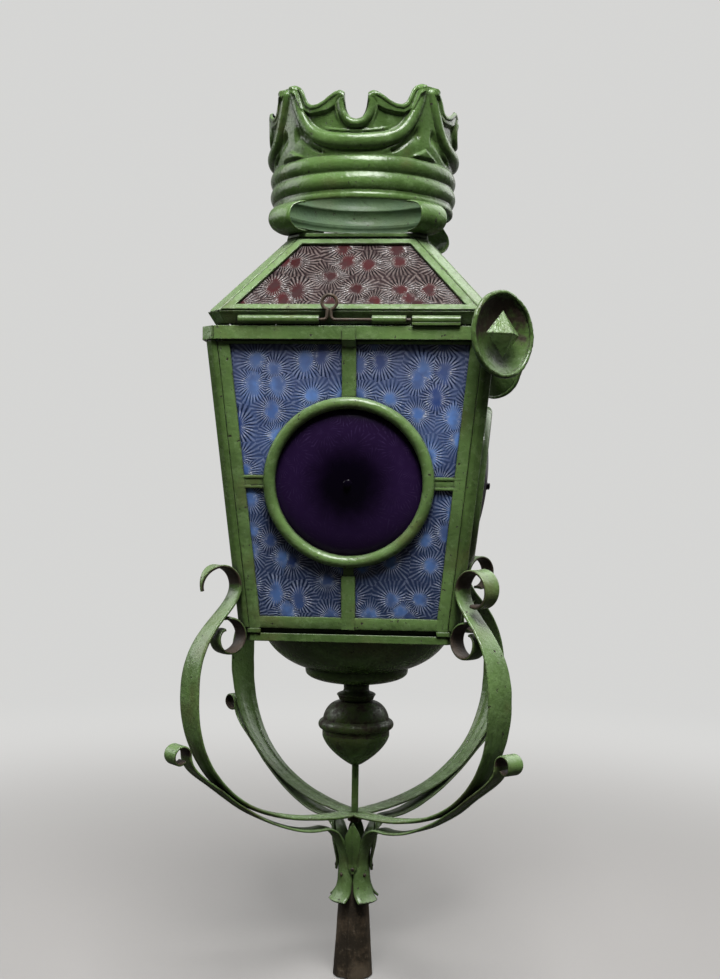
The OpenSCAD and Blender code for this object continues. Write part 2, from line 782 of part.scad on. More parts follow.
module roof_top_ring() {
    color(paint_light) translate([0, 0, roof_top_z]) difference() {
        linear_extrude(top_ring_t) cut_square(half_roof_top, hip_cut);
        translate([0, 0, -1]) cylinder(r = smoke_r, h = top_ring_t + 2);
    }
}

// Crown

leg_foot_r = (2 * half_roof_top - hip_cut) / sqrt(2) - 2;
leg_path = curve([leg_foot_r, leg_z + seam_gap], [leg_foot_r + 26, leg_z], [crown_r + 16, crown_z],
    [crown_r - crown_t / 2, crown_z - seam_gap], 14);
module crown_legs() {
    color(paint) intersection() {
        rotate([0, 0, 45]) on_sides() bent_strip(leg_path, crown_t, leg_w);
        translate([0, 0, leg_z + seam_gap]) cylinder(r = far, h = leg_h - 2 * seam_gap);
    }
}

rib_z = crown_z + band_h;
crest_z = rib_z + 2 * rib_h;
crown_top_z = crown_z + crown_h;
crest_h = crown_top_z - crest_z;
crest_r = crown_r + rib_out + 0.5;
notch_depth = 0.56;
notch_half = asin(notch_r / crest_r);
// Angle from the middle of a side, and the edge's drop there as a share of the crest's height
crest_keys = [[notch_half, 0.23], [9.2, 0.187], [11, 0.18], [15, 0.22], [20, 0.295], [24, 0.333],
    [27.5, 0.333], [31.5, 0.28], [35, 0.18], [37.2, 0.107], [38.2, 0.082], [39.2, 0.107], [41.5, 0.123],
    [43.5, 0.066], [46.5, -0.03]];
notch_steps = [for (i = [0, 3, 5, 6, 7, 8, 9]) notch_half * i / 10];
crest_turns = concat(notch_steps, [for (key = crest_keys) key[0]]);
function crest_drop(a) = crest_h * (a < notch_half
    ? mix(notch_depth, crest_keys[0][1], pow(a / notch_half, 4.5)) : lookup(a, crest_keys));
module crown() {
    wall = concat([[crown_r, crown_z], [crown_r, rib_z - 1]],
        [for (k = [0, 1], i = [0 : 8]) [crown_r + rib_out * sin(22.5 * i), rib_z + rib_h * (k + i / 8)]],
        [[crest_r - 2, crest_z + 2], [crest_r, crown_top_z]]);
    // The cuts of two sides cross at a corner peak, just under the wall's top
    cut_top = crown_top_z + crest_h / 10;
    cut_end = crest_turns[len(crest_turns) - 1];
    crest_cut = mirrored(concat([[0, cut_top]], [[crest_r * sin(cut_end), cut_top]],
        [for (i = [len(crest_turns) - 1 : -1 : 0])
            [crest_r * sin(crest_turns[i]), crown_top_z - crest_drop(crest_turns[i])]]));
    color(paint) difference() {
        rotate_extrude() polygon(concat(wall, [for (i = [len(wall) - 1 : -1 : 0]) wall[i] - [crown_t, 0]]));
        // The U notch, its two horns, a dip to each side of them and a spike before the corner peak
        rotate([0, 0, 90]) on_sides() side_prism(crest_cut);
    }
}

// Latch

module guide_tube(x0, x1, bore) {
    difference() {
        translate([x0, 0, 0]) rotate([0, 90, 0]) cylinder(r = guide_r, h = x1 - x0);
        translate([x0 - 1, 0, 0]) rotate([0, 90, 0]) cylinder(r = bore, h = x1 - x0 + 2);
    }
}

// Outer face of the rim at height z
function rim_face(z) = mix(half_eave - rim_slope, half_eave, (z - rim_z) / rim_h);

module bolt_guides() {
    lo = bolt_z - 1.4;
    hi = bolt_z + 3;
    foot = bolt_y + bolt_r + 0.6;
    color(paint) for (x = [[guide_x0, guide_x1], [guide_x2, guide_x3]]) {
        translate([0, bolt_y, bolt_z]) guide_tube(x[0], x[1], bolt_r + run_gap);
        // Foot that carries the tube on the rim's sloping face
        translate([x[0], 0, 0]) rotate([90, 0, 90]) linear_extrude(x[1] - x[0]) polygon([[foot, lo],
            [-rim_face(lo) - seam_gap, lo], [-rim_face(hi) - seam_gap, hi], [foot, hi]]);
    }
}

keeper_bore = 0.5;
module bolt_keeper() {
    seat = rail_top_z + seam_gap;
    color(paint) {
        translate([0, bolt_y, bolt_z]) guide_tube(keeper_x0, keeper_x1, bolt_r + keeper_bore);
        translate([keeper_x0, bolt_y - guide_r, seat])
            cube([keeper_x1 - keeper_x0, 2 * guide_r - 1, bolt_z - bolt_r - keeper_bore - 0.4 - seat]);
    }
}

// A wire that slides in the guides, with a finger loop on a doubled neck between them
module latch_bolt() {
    left = guide_x0 + 4;
    tip = keeper_x0 - 1.1;
    neck = bolt_r + 0.1;
    color(wire) translate([0, bolt_y, bolt_z]) {
        translate([left, 0, 0]) rotate([0, 90, 0]) cylinder(r = bolt_r, h = tip - left);
        for (s = [-1, 1]) translate([loop_x + s * neck, 0, 0])
            cylinder(r = bolt_r * 0.9, h = loop_rise - sqrt(loop_r * loop_r - neck * neck));
        translate([loop_x, 0, loop_rise]) rotate([90, 0, 0]) rotate_extrude()
            translate([loop_r, 0]) circle(r = bolt_r);
    }
}

// Hinge along the left side

module knuckles(spans) {
    for (s = spans) translate([hinge_x, s[0], hinge_z]) rotate([-90, 0, 0])
        cylinder(r = knuckle_r, h = s[1] - s[0]);
}

module pin_hole() {
    translate([hinge_x, -far / 2, hinge_z]) rotate([-90, 0, 0]) cylinder(r = pin_r + run_gap, h = far);
}

// A leaf with an outline of [x, z] points, from y0 to y1
module leaf_plate(points, y0, y1) {
    translate([0, y1, 0]) rotate([90, 0, 0]) linear_extrude(y1 - y0) polygon(points);
}

leaf_drop = rail_h * 0.8;
module hinge_leaf_body() {
    x = -half_rail - seam_gap;
    outer = knuckle_l * 1.5;
    inner = knuckle_l / 2;
    color(iron) difference() {
        for (s = [-1, 1]) {
            y0 = s < 0 ? -outer : inner;
            knuckles([[y0, y0 + knuckle_l]]);
            leaf_plate([[x, rail_top_z - leaf_drop], [x, rail_top_z - 0.4], [hinge_x, hinge_z],
                [hinge_x - knuckle_r * 0.6, hinge_z - knuckle_r * 0.7], [x - 1.6, rail_top_z - leaf_drop]],
                y0, y0 + knuckle_l);
        }
        pin_hole();
    }
}

module hinge_leaf_roof() {
    half = knuckle_l / 2 - knuckle_gap;
    lo = rim_z + 0.4;
    hi = eave_z - 0.6;
    color(iron) difference() {
        union() {
            knuckles([[-half, half]]);
            leaf_plate([[hinge_x, hinge_z], [-rim_face(lo) - seam_gap, lo], [-rim_face(hi) - seam_gap, hi],
                [-rim_face(hi) - 2, hi], [hinge_x, hinge_z + knuckle_r]], -half, half);
        }
        pin_hole();
    }
}

module hinge_pin() {
    pin_end = 1.5;
    reach = knuckle_l * 1.5 + pin_end;
    color(iron) translate([hinge_x, -reach, hinge_z]) rotate([-90, 0, 0])
        cylinder(r = pin_r, h = 2 * reach);
}

// Candle fittings

module candle_cup() {
    outer = candle_r + sheet_t;
    color(iron) translate([0, 0, cup_z]) rotate_extrude() polygon([[rod_hole, 0], [outer + 4, 0],
        [outer, cup_floor], [outer, cup_floor + cup_depth], [candle_r, cup_floor + cup_depth],
        [candle_r, cup_floor], [0, cup_floor], [0, cup_floor - cup_floor_t],
        [rod_hole, cup_floor - cup_floor_t]]);
}

module drip_pan() {
    half = sheet_t / 2;
    base = floor_z + seam_gap + half;
    lip = 5;
    color(iron) spun([[rod_hole, base], [pan_r - lip, base], [pan_r, base + lip]], sheet_t);
}

// Rosettes on the two right-hand corners

rosette_r = (2 * half_rail - rail_chamfer) / sqrt(2) + seam_gap;
rosette_z = post_top_z + rail_h * 0.4;
dish_t = 1.2;
dish_flat_r = 7;
dish_bead_r = 1.5;
shank_r = 3.5;
module on_rosette(turn) {
    rotate([0, 0, turn]) translate([rosette_r, 0, rosette_z]) rotate([0, 90, 0]) children();
}

module rosette_dishes() {
    half = dish_t / 2;
    color(paint) for (turn = [-45, 45]) on_rosette(turn) rotate_extrude() {
        polygon(ribbon([for (i = [0 : 12]) let (r = mix(shank_r + seam_gap, dish_r, i / 12))
            [r, half + dish_depth * pow(max(r - dish_flat_r, 0) / (dish_r - dish_flat_r), 2)]], dish_t));
        translate([dish_r, dish_depth + half]) circle(r = dish_bead_r);
    }
}

module rosette_studs() {
    base = dish_depth;
    color(paint_light) for (turn = [-45, 45]) on_rosette(turn) {
        cylinder(r = shank_r, h = base);
        translate([0, 0, base - 0.01]) cylinder(r1 = stud_w / sqrt(2), r2 = 0.4, h = stud_h, $fn = 4);
    }
}

pole_socket();
socket_leaves();
socket_rivets();
arm_strap(225);  // arm_strap_fl
arm_strap(315);  // arm_strap_fr
arm_strap(135);  // arm_strap_rl
arm_strap(45);  // arm_strap_rr
lower_strap(225);  // lower_strap_fl
lower_strap(315);  // lower_strap_fr
lower_strap(135);  // lower_strap_rl
lower_strap(45);  // lower_strap_rr
corner_scrolls();
center_rod();
rod_nut();
finial_lower();
finial_upper();
finial_collar();
bowl_step();
bowl();
base_tray();
floor_plate();
corner_post(180);  // corner_post_fl
corner_post(270);  // corner_post_fr
corner_post(90);  // corner_post_rl
corner_post(0);  // corner_post_rr
top_rails();
glazing_bars(0);  // glazing_bars_front
glazing_bars(1);  // glazing_bars_right
glazing_bars(2);  // glazing_bars_back
glazing_bars(3);  // glazing_bars_left
lens_ring(0);  // lens_ring_front
lens_ring(1);  // lens_ring_right
lens_ring(2);  // lens_ring_back
lens_ring(3);  // lens_ring_left
lens(0);  // lens_front
lens(1);  // lens_right
lens(2);  // lens_back
lens(3);  // lens_left
panes(0);  // panes_front
panes(1);  // panes_right
panes(2);  // panes_back
panes(3);  // panes_left
roof_rim();
roof_hips();
roof_frames();
roof_panes();
roof_top_ring();
crown_legs();
crown();
bolt_guides();
bolt_keeper();
latch_bolt();
hinge_leaf_body();
hinge_leaf_roof();
hinge_pin();
candle_cup();
drip_pan();
rosette_dishes();
rosette_studs();
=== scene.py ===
"""Looks of a processional lantern: painted ironwork, pressed glass and an embossed crown.

Lengths are in millimetres until a mesh is made, heights are measured from the socket's mouth,
and angles are in degrees.
"""

import json
import math

import bmesh
import bpy
from mathutils import Matrix, Vector, noise


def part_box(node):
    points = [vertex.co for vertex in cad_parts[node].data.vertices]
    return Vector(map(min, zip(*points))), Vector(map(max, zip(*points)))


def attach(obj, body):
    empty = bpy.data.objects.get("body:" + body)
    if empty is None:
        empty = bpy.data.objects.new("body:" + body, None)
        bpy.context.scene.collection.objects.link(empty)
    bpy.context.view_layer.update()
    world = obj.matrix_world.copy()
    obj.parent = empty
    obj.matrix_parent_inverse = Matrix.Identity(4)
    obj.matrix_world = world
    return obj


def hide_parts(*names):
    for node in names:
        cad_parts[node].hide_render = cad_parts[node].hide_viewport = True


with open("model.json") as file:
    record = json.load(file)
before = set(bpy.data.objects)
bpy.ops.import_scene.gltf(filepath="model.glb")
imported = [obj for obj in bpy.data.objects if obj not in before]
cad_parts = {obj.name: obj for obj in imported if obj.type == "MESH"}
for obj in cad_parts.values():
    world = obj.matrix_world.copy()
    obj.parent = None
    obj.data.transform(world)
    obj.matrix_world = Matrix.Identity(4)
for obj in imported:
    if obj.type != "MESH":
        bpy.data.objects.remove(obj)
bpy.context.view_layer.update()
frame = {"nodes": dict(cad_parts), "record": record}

MM = 0.001
SIDES = ("front", "right", "back", "left")
CORNERS = {"fl": 225, "fr": 315, "rl": 135, "rr": 45}
BODY_OF = {
    node: body
    for body, nodes in frame["record"]["behaviour"]["bodies"].items()
    for node in nodes
}
SLOT_OF = {part["node"]: part["material_slot"] for part in frame["record"]["subparts"]}


# Measures taken from the frame

# Thickness of an arm strap, and the gap that stands for a brazed seam
STRAP_T = 2.4
SEAM = 0.15


def box_mm(node):
    """Lowest and highest corner of a CAD node, in millimetres."""
    low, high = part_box(node)
    return low / MM, high / MM


post_low, post_high = box_mm("corner_post_fl")
FLOOR_Z = post_low.z
POST_TOP_Z = post_high.z
HALF_TOP = -post_low.x
HALF_BOTTOM = box_mm("floor_plate")[1].x
BODY_H = POST_TOP_Z - FLOOR_Z
FACE_TILT = math.atan2(HALF_TOP - HALF_BOTTOM, BODY_H)
FACE_LEN = BODY_H / math.cos(FACE_TILT)
RAIL_OUT = box_mm("top_rails")[1].x - HALF_TOP
RAIL_TOP_Z = box_mm("top_rails")[1].z

rim_high = box_mm("roof_rim")[1]
EAVE_Z = rim_high.z
HALF_EAVE = rim_high.x
top_ring_low, top_ring_high = box_mm("roof_top_ring")
ROOF_TOP_Z = top_ring_low.z
HALF_ROOF_TOP = top_ring_high.x
ROOF_TILT = math.atan2(HALF_EAVE - HALF_ROOF_TOP, ROOF_TOP_Z - EAVE_Z)
ROOF_LEN = (ROOF_TOP_Z - EAVE_Z) / math.cos(ROOF_TILT)

CROWN_Z, CROWN_TOP_Z = (corner.z for corner in box_mm("crown"))
LEG_Z = top_ring_high.z
FINIAL_Z, SEAM_Z = (corner.z for corner in box_mm("finial_lower"))
COLLAR_Z, STEP_Z = (corner.z for corner in box_mm("finial_collar"))
BOWL_Z, TRAY_UNDER_Z = (corner.z for corner in box_mm("bowl"))
TRAY_Z = box_mm("base_tray")[0].z
SOCKET_H = box_mm("pole_socket")[1].z
CROSS_Z = box_mm("arm_strap_fr")[0].z + STRAP_T / 2
ROD_R = box_mm("center_rod")[1].x
BOLT_LOW, BOLT_HIGH = box_mm("latch_bolt")


# Numbers and curves

def mix(a, b, share):
    return a + (b - a) * share


def ease(value, low, high):
    """Goes smoothly from 0 at low to 1 at high; low may be the larger."""
    share = min(1.0, max(0.0, (value - low) / (high - low)))
    return share * share * (3 - 2 * share)


def wobble(x, y=0.0, z=0.0):
    """Smooth noise from -1 to 1 that is the same on each run."""
    return noise.noise(Vector((x, y, z)))


def roll(distance, half_width, height):
    """Height of a round ridge at a distance from its crest."""
    share = abs(distance) / half_width
    return height * math.sqrt(max(0.0, 1 - share * share))


def bezier(a, b, c, d, steps=32):
    """Points on a cubic curve, as 2-D vectors."""
    points = []
    for index in range(steps + 1):
        t = index / steps
        u = 1 - t
        points.append(u ** 3 * Vector(a) + 3 * t * u * u * Vector(b)
                      + 3 * t * t * u * Vector(c) + t ** 3 * Vector(d))
    return points


def spiral(centre, r0, r1, a0, a1, steps=48):
    """Points on a spiral from radius r0 at angle a0 to r1 at a1."""
    points = []
    for index in range(steps + 1):
        share = index / steps
        angle = math.radians(mix(a0, a1, share))
        points.append(Vector(centre) + mix(r0, r1, share) * Vector((math.cos(angle), math.sin(angle))))
    return points


def line_length(points):
    return sum((b - a).length for a, b in zip(points, points[1:]))


def even_points(points, step):
    """Points on the same line, about step apart."""
    lengths = [0.0]
    for a, b in zip(points, points[1:]):
        lengths.append(lengths[-1] + (b - a).length)
    count = max(2, round(lengths[-1] / step))
    made = []
    at = 0
    for index in range(count + 1):
        wanted = lengths[-1] * index / count
        while at < len(points) - 2 and lengths[at + 1] < wanted:
            at += 1
        span = lengths[at + 1] - lengths[at]
        share = (wanted - lengths[at]) / span if span else 0.0
        made.append(points[at].lerp(points[at + 1], share))
    return made


def right_of(points, index):
    """Unit vector to the right of a 2-D line at one of its points."""
    ahead = points[min(index + 1, len(points) - 1)] - points[max(index - 1, 0)]
    ahead.normalize()
    return Vector((ahead.y, -ahead.x))


def ribbon(points, thickness):
    """Closed outline of a strip of even thickness round a 2-D line."""
    half = thickness / 2
    right = [p + half * right_of(points, i) for i, p in enumerate(points)]
    left = [p - half * right_of(points, i) for i, p in enumerate(points)]
    return right + left[::-1]


def cut_corners(outline, rounds=2):
    """A closed outline with its corners rounded by cutting them."""
    for _ in range(rounds):
        cut = []
        for a, b in zip(outline, outline[1:] + outline[:1]):
            cut += [a.lerp(b, 0.25), a.lerp(b, 0.75)]
        outline = cut
    return outline


# Meshes

def skin(rings, closed=False):
    """Points and faces of a surface through rings of equal length; open runs are capped."""
    size = len(rings[0])
    points = [point for ring in rings for point in ring]
    faces = []
    last = len(rings) if closed else len(rings) - 1
    for row in range(last):
        here = row * size
        there = (row + 1) % len(rings) * size
        for k in range(size):
            nxt = (k + 1) % size
            faces.append((here + k, here + nxt, there + nxt, there + k))
    if not closed:
        faces.append(tuple(range(size))[::-1])
        faces.append(tuple(range(len(points) - size, len(points))))
    return points, faces


def lathe(outline, segments=128):
    """A closed 2-D outline of (radius, height) points turned round +Z."""
    rings = []
    for index in range(segments):
        angle = 2 * math.pi * index / segments
        rings.append([(p.x * math.cos(angle), p.x * math.sin(angle), p.y) for p in outline])
    return skin(rings, closed=True)


def joined(parts):
    """Several lists of points and faces as one."""
    points = []
    faces = []
    for more_points, more_faces in parts:
        base = len(points)
        points += list(more_points)
        faces += [tuple(base + k for k in face) for face in more_faces]
    return points, faces


def moved(part, matrix):
    points, faces = part
    return [matrix @ Vector(p) for p in points], faces


def turn_z(angle):
    return Matrix.Rotation(math.radians(angle), 4, "Z")


def on_slope(side, half, z, tilt):
    """Frame of a sloping side: +X along it, +Z up its slope, -Y outwards, from its foot at half and z."""
    return turn_z(90 * side) @ Matrix.Translation((0, -half, z)) @ Matrix.Rotation(tilt, 4, "X")


def on_face(side):
    return on_slope(side, HALF_BOTTOM, FLOOR_Z, FACE_TILT)


def on_roof(side):
    return on_slope(side, HALF_EAVE, EAVE_Z, -ROOF_TILT)


def facing(centre_v):
    """Turns a lathe's +Z outwards from a face, at a height up the slope."""
    return Matrix.Translation((0, 0, centre_v)) @ Matrix.Rotation(math.radians(90), 4, "X")


def placed(name, data):
    """A new object in the scene."""
    obj = bpy.data.objects.new(name, data)
    bpy.context.scene.collection.objects.link(obj)
    return obj


def dressed(name, mesh, *nodes):
    """An object that stands for CAD nodes, with their body, slot and finish."""
    slot = SLOT_OF[nodes[0]]
    mesh.materials.clear()
    mesh.materials.append(FINISHES[slot])
    obj = placed(name, mesh)
    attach(obj, BODY_OF[nodes[0]])
    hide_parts(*nodes)
    return obj


SHARP_ANGLE = math.radians(40)
MERGE = 0.002 * MM


def piece(name, part, *nodes, uv=None):
    """A smooth mesh in metres that stands for CAD nodes. uv gives a point's texture place."""
    points, faces = part
    mesh = bpy.data.meshes.new(name)
    mesh.from_pydata([Vector(p) * MM for p in points], [], faces)
    build = bmesh.new()
    build.from_mesh(mesh)
    if uv:
        layer = build.loops.layers.uv.new("UVMap")
        for face in build.faces:
            for loop in face.loops:
                loop[layer].uv = uv[loop.vert.index]
    bmesh.ops.remove_doubles(build, verts=build.verts, dist=MERGE)
    bmesh.ops.recalc_face_normals(build, faces=build.faces)
    build.to_mesh(mesh)
    build.free()
    mesh.shade_smooth()
    mesh.set_sharp_from_angle(angle=SHARP_ANGLE)
    dressed(name, mesh, *nodes)


SEAM_ANGLE = math.radians(0.5)
BEVEL_ANGLE = math.radians(32)


def softened(node, width):
    """A copy of a CAD node with its edges rounded, as under layers of paint."""
    mesh = frame["nodes"][node].data.copy()
    build = bmesh.new()
    build.from_mesh(mesh)
    bmesh.ops.remove_doubles(build, verts=build.verts, dist=MERGE)
    bmesh.ops.dissolve_limit(build, angle_limit=SEAM_ANGLE, verts=build.verts, edges=build.edges)
    build.to_mesh(mesh)
    build.free()
    mesh.shade_smooth()
    obj = dressed(node + "_worn", mesh, node)
    bevel = obj.modifiers.new("rounded_edges", "BEVEL")
    bevel.width = width * MM
    bevel.segments = 3
    bevel.limit_method = "ANGLE"
    bevel.angle_limit = BEVEL_ANGLE
    obj.modifiers.new("even_shading", "WEIGHTED_NORMAL")


# Materials

class Nodes:
    """Short calls for the nodes of a material or of the world."""

    def __init__(self, tree):
        self.tree = tree

    def put(self, socket, value):
        if isinstance(value, bpy.types.NodeSocket):
            self.tree.links.new(value, socket)
        elif socket.type == "RGBA":
            socket.default_value = (*value, 1.0)
        else:
            socket.default_value = value

    def node(self, kind, inputs=None, **settings):
        made = self.tree.nodes.new("ShaderNode" + kind)
        for key, value in settings.items():
            setattr(made, key, value)
        for key, value in (inputs or {}).items():
            self.put(made.inputs[key], value)
        return made

    def place(self, kind="Object"):
        return self.node("TexCoord").outputs[kind]

    def math(self, operation, a, b=0.0):
        return self.node("Math", {0: a, 1: b}, operation=operation).outputs[0]

    def times(self, a, b):
        return self.math("MULTIPLY", a, b)

    def plus(self, a, b):
        return self.math("ADD", a, b)

    def minus(self, a, b):
        return self.math("SUBTRACT", a, b)

    def most(self, a, b):
        return self.math("MAXIMUM", a, b)

    def axes(self, vector):
        return self.node("SeparateXYZ", {0: vector}).outputs

    def noise(self, place, scale, detail=3.0, roughness=0.55):
        inputs = {"Vector": place, "Scale": scale, "Detail": detail, "Roughness": roughness}
        return self.node("TexNoise", inputs).outputs["Fac"]

    def ramp(self, value, low, high, bottom, top, kind="LINEAR"):
        """Goes from bottom to top as value goes from low to high."""
        inputs = {"Value": value, "From Min": low, "From Max": high, "To Min": bottom, "To Max": top}
        return self.node("MapRange", inputs, interpolation_type=kind).outputs["Result"]

    def band(self, value, low, high, bottom=0.0, top=1.0):
        """A ramp with soft ends."""
        return self.ramp(value, low, high, bottom, top, "SMOOTHSTEP")

    def blend(self, share, a, b):
        made = self.node("Mix", data_type="RGBA")
        self.put(made.inputs[0], share)
        self.put(made.inputs[6], a)
        self.put(made.inputs[7], b)
        return made.outputs[2]

    def bump(self, height, strength, distance):
        inputs = {"Height": height, "Strength": strength, "Distance": distance * MM}
        return self.node("Bump", inputs).outputs["Normal"]


class Finish(Nodes):
    """A material, its shader, and masks that follow the shape under it."""

    def __init__(self, name):
        self.material = bpy.data.materials.new(name)
        self.material.use_nodes = True
        super().__init__(self.material.node_tree)
        self.shader = self.tree.nodes["Principled BSDF"]

    def shade(self, **inputs):
        for key, value in inputs.items():
            self.put(self.shader.inputs[key.replace("_", " ")], value)

    def crevice(self, reach):
        """0 in the open and 1 deep in a corner."""
        made = self.node("AmbientOcclusion", {"Distance": reach * MM}, samples=6)
        return self.band(made.outputs["AO"], 0.85, 0.25)

    def edge(self, reach):
        """0 on a flat face and 1 on a sharp edge."""
        round_normal = self.node("Bevel", {"Radius": reach * MM}, samples=4).outputs["Normal"]
        normal = self.node("NewGeometry").outputs["Normal"]
        dot = self.node("VectorMath", {0: round_normal, 1: normal}, operation="DOT_PRODUCT")
        return self.band(dot.outputs["Value"], 0.992, 0.90)


# Dark tone painted into corners: part soiling, part painted shade
DIRT_AND_SHADE = (0.011, 0.0125, 0.006)
BARE_IRON = (0.021, 0.015, 0.010)
# Dark brown of unpainted iron, also used as painted shade on the finial, its collar and in the rosettes'
# dishes
UNPAINTED_AND_SHADE = (0.033, 0.022, 0.014)
RUBBED = (0.25, 0.172, 0.083)
AGED = (0.086, 0.086, 0.033)
# Darker, bluer tone painted inside the crown as shade and a bluish reflection
INSIDE_SHADE_AND_REFLECTION = (0.042, 0.074, 0.040)
# Pale tone of faces that look up: part dusting, part painted sheen of the light from above
DUST_AND_SHEEN = (0.148, 0.207, 0.114)
WORN_RUST = (0.082, 0.064, 0.042)
SCRAPED = (0.120, 0.100, 0.072)
# Near black painted into crevices as shade
CREVICE_SHADE = (0.008, 0.006, 0.005)
GLASS_SHADE = (0.008, 0.009, 0.012)
BLACK = (0.0, 0.0, 0.0)


def darker(colour, share):
    return tuple(share * c for c in colour)


def paint_wear_and_shade(f, place, mottle, fine, wear):
    """Dirt and painted shade in corners, and chips along edges and in small spots."""
    # Painted shade: darker deep in corners and hollows, broken up in patches like soiling
    dirt_and_shade = f.most(f.crevice(8), f.times(f.crevice(30), 0.45))
    dirt_and_shade = f.times(dirt_and_shade, f.band(mottle, 0.25, 0.6, 0.5, 1.0))
    edge = f.minus(f.edge(1.8), dirt_and_shade)
    chips = f.times(edge, f.band(fine, 0.52 - wear, 0.58 - wear))
    pits = f.band(f.noise(place, 330, 2), 0.675, 0.715)
    return dirt_and_shade, f.most(chips, pits)


def paint_tone(f, place, broad, mottle, fine, colour, pale, dust_and_sheen_share):
    """Paint that is deeper, paler or aged in places, paler on top with dusting and painted sheen, and rubbed
    here and there.
    """
    tone = f.blend(f.band(broad, 0.35, 0.66), darker(colour, 0.62), colour)
    tone = f.blend(f.band(mottle, 0.40, 0.75, 0.0, 0.55), tone, pale)
    tone = f.blend(f.band(f.noise(place, 24, 4), 0.50, 0.72, 0.0, 0.6), tone, AGED)
    # Faces that look up are painted paler: part dusting, part painted sheen of the light from above
    up = f.axes(f.node("NewGeometry").outputs["Normal"])["Z"]
    dust_and_sheen = f.times(f.band(up, 0.1, 0.8, 0.0, dust_and_sheen_share), f.band(mottle, 0.3, 0.6, 0.3, 1.0))
    tone = f.blend(dust_and_sheen, tone, DUST_AND_SHEEN)
    rubs = f.times(f.band(broad, 0.56, 0.64), f.band(fine, 0.60, 0.72))
    rubs = f.times(rubs, f.band(mottle, 0.55, 0.68))
    return f.blend(f.times(rubs, 0.7), tone, RUBBED)


def enamel(name, colour, pale, wear, dust_and_sheen_share):
    """Brushed-on gloss paint, uneven in tone and chipped along edges, with soiling and painted shade in
    corners and dusting and painted sheen on top.

    The first texture coordinate is 1 where a piece shows dark brown: iron where a strap was left unpainted
    or its paint is worn, and painted shade on the finial, its collar and inside the rosettes' dishes. The
    second is 1 on the crown's inner skin, which is painted darker, bluer and duller as shade and a bluish
    reflection.
    """
    f = Finish(name)
    place = f.place()
    broad = f.noise(place, 16, 3)
    mottle = f.noise(place, 110, 5, 0.65)
    fine = f.noise(place, 520, 4, 0.6)
    flags = f.axes(f.place("UV"))
    dirt_and_shade, chips = paint_wear_and_shade(f, place, mottle, fine, wear)
    tone = paint_tone(f, place, broad, mottle, fine, colour, pale, dust_and_sheen_share)
    # Painted shade and a bluish painted reflection on the crown's inner skin
    tone = f.blend(f.times(flags["Y"], f.band(broad, 0.3, 0.6, 0.55, 1.0)), tone, INSIDE_SHADE_AND_REFLECTION)
    # Painted shade and soiling in corners
    tone = f.blend(dirt_and_shade, tone, DIRT_AND_SHADE)
    # Dark brown where a strap is unpainted or its paint worn, and as painted shade where a piece is flagged
    # for it
    ragged = f.times(f.minus(mottle, 0.5), 1.1)
    bare_and_shade = f.band(f.plus(flags["X"], ragged), 0.38, 0.72)
    tone = f.blend(bare_and_shade, tone, UNPAINTED_AND_SHADE)
    tone = f.blend(chips, tone, BARE_IRON)
    rough = f.most(f.most(chips, dirt_and_shade), f.most(bare_and_shade, flags["Y"]))
    gloss = f.plus(f.band(mottle, 0.3, 0.75, 0.15, 0.34), f.times(rough, 0.4))
    waves = f.times(f.noise(place, 70, 2), 1.4)
    brushed = f.plus(f.noise(place, 230, 3, 0.6), f.times(fine, 0.4))
    height = f.minus(f.plus(waves, brushed), f.times(chips, 0.35))
    f.shade(Base_Color=tone, Roughness=gloss, Normal=f.bump(height, 0.6, 0.8))
    f.shade(Coat_Weight=0.06, Coat_Roughness=0.12, Specular_IOR_Level=0.30)
    return f.material


def rusty_iron(name, dark, rust, scale):
    """Dark wrought iron with rust blooms, scraped high spots and painted shade in its crevices."""
    f = Finish(name)
    place = f.place()
    broad = f.noise(place, 45 * scale, 4)
    grain = f.noise(place, 380 * scale, 6, 0.7)
    bloom = f.band(f.plus(broad, f.times(grain, 0.5)), 0.66, 0.92)
    tone = f.blend(bloom, dark, rust)
    tone = f.blend(f.band(f.noise(place, 30 * scale, 3), 0.50, 0.66, 0.0, 0.6), tone, WORN_RUST)
    tone = f.blend(f.band(grain, 0.54, 0.70, 0.0, 0.55), tone, SCRAPED)
    # Painted shade: darker in crevices
    tone = f.blend(f.times(f.crevice(7), 0.8), tone, CREVICE_SHADE)
    height = f.plus(grain, f.times(broad, 1.5))
    f.shade(Base_Color=tone, Roughness=f.band(bloom, 0, 1, 0.48, 0.82))
    f.shade(Metallic=0.25, Normal=f.bump(height, 0.7, 0.5))
    return f.material


RAY_COUNTS = (26, 36)


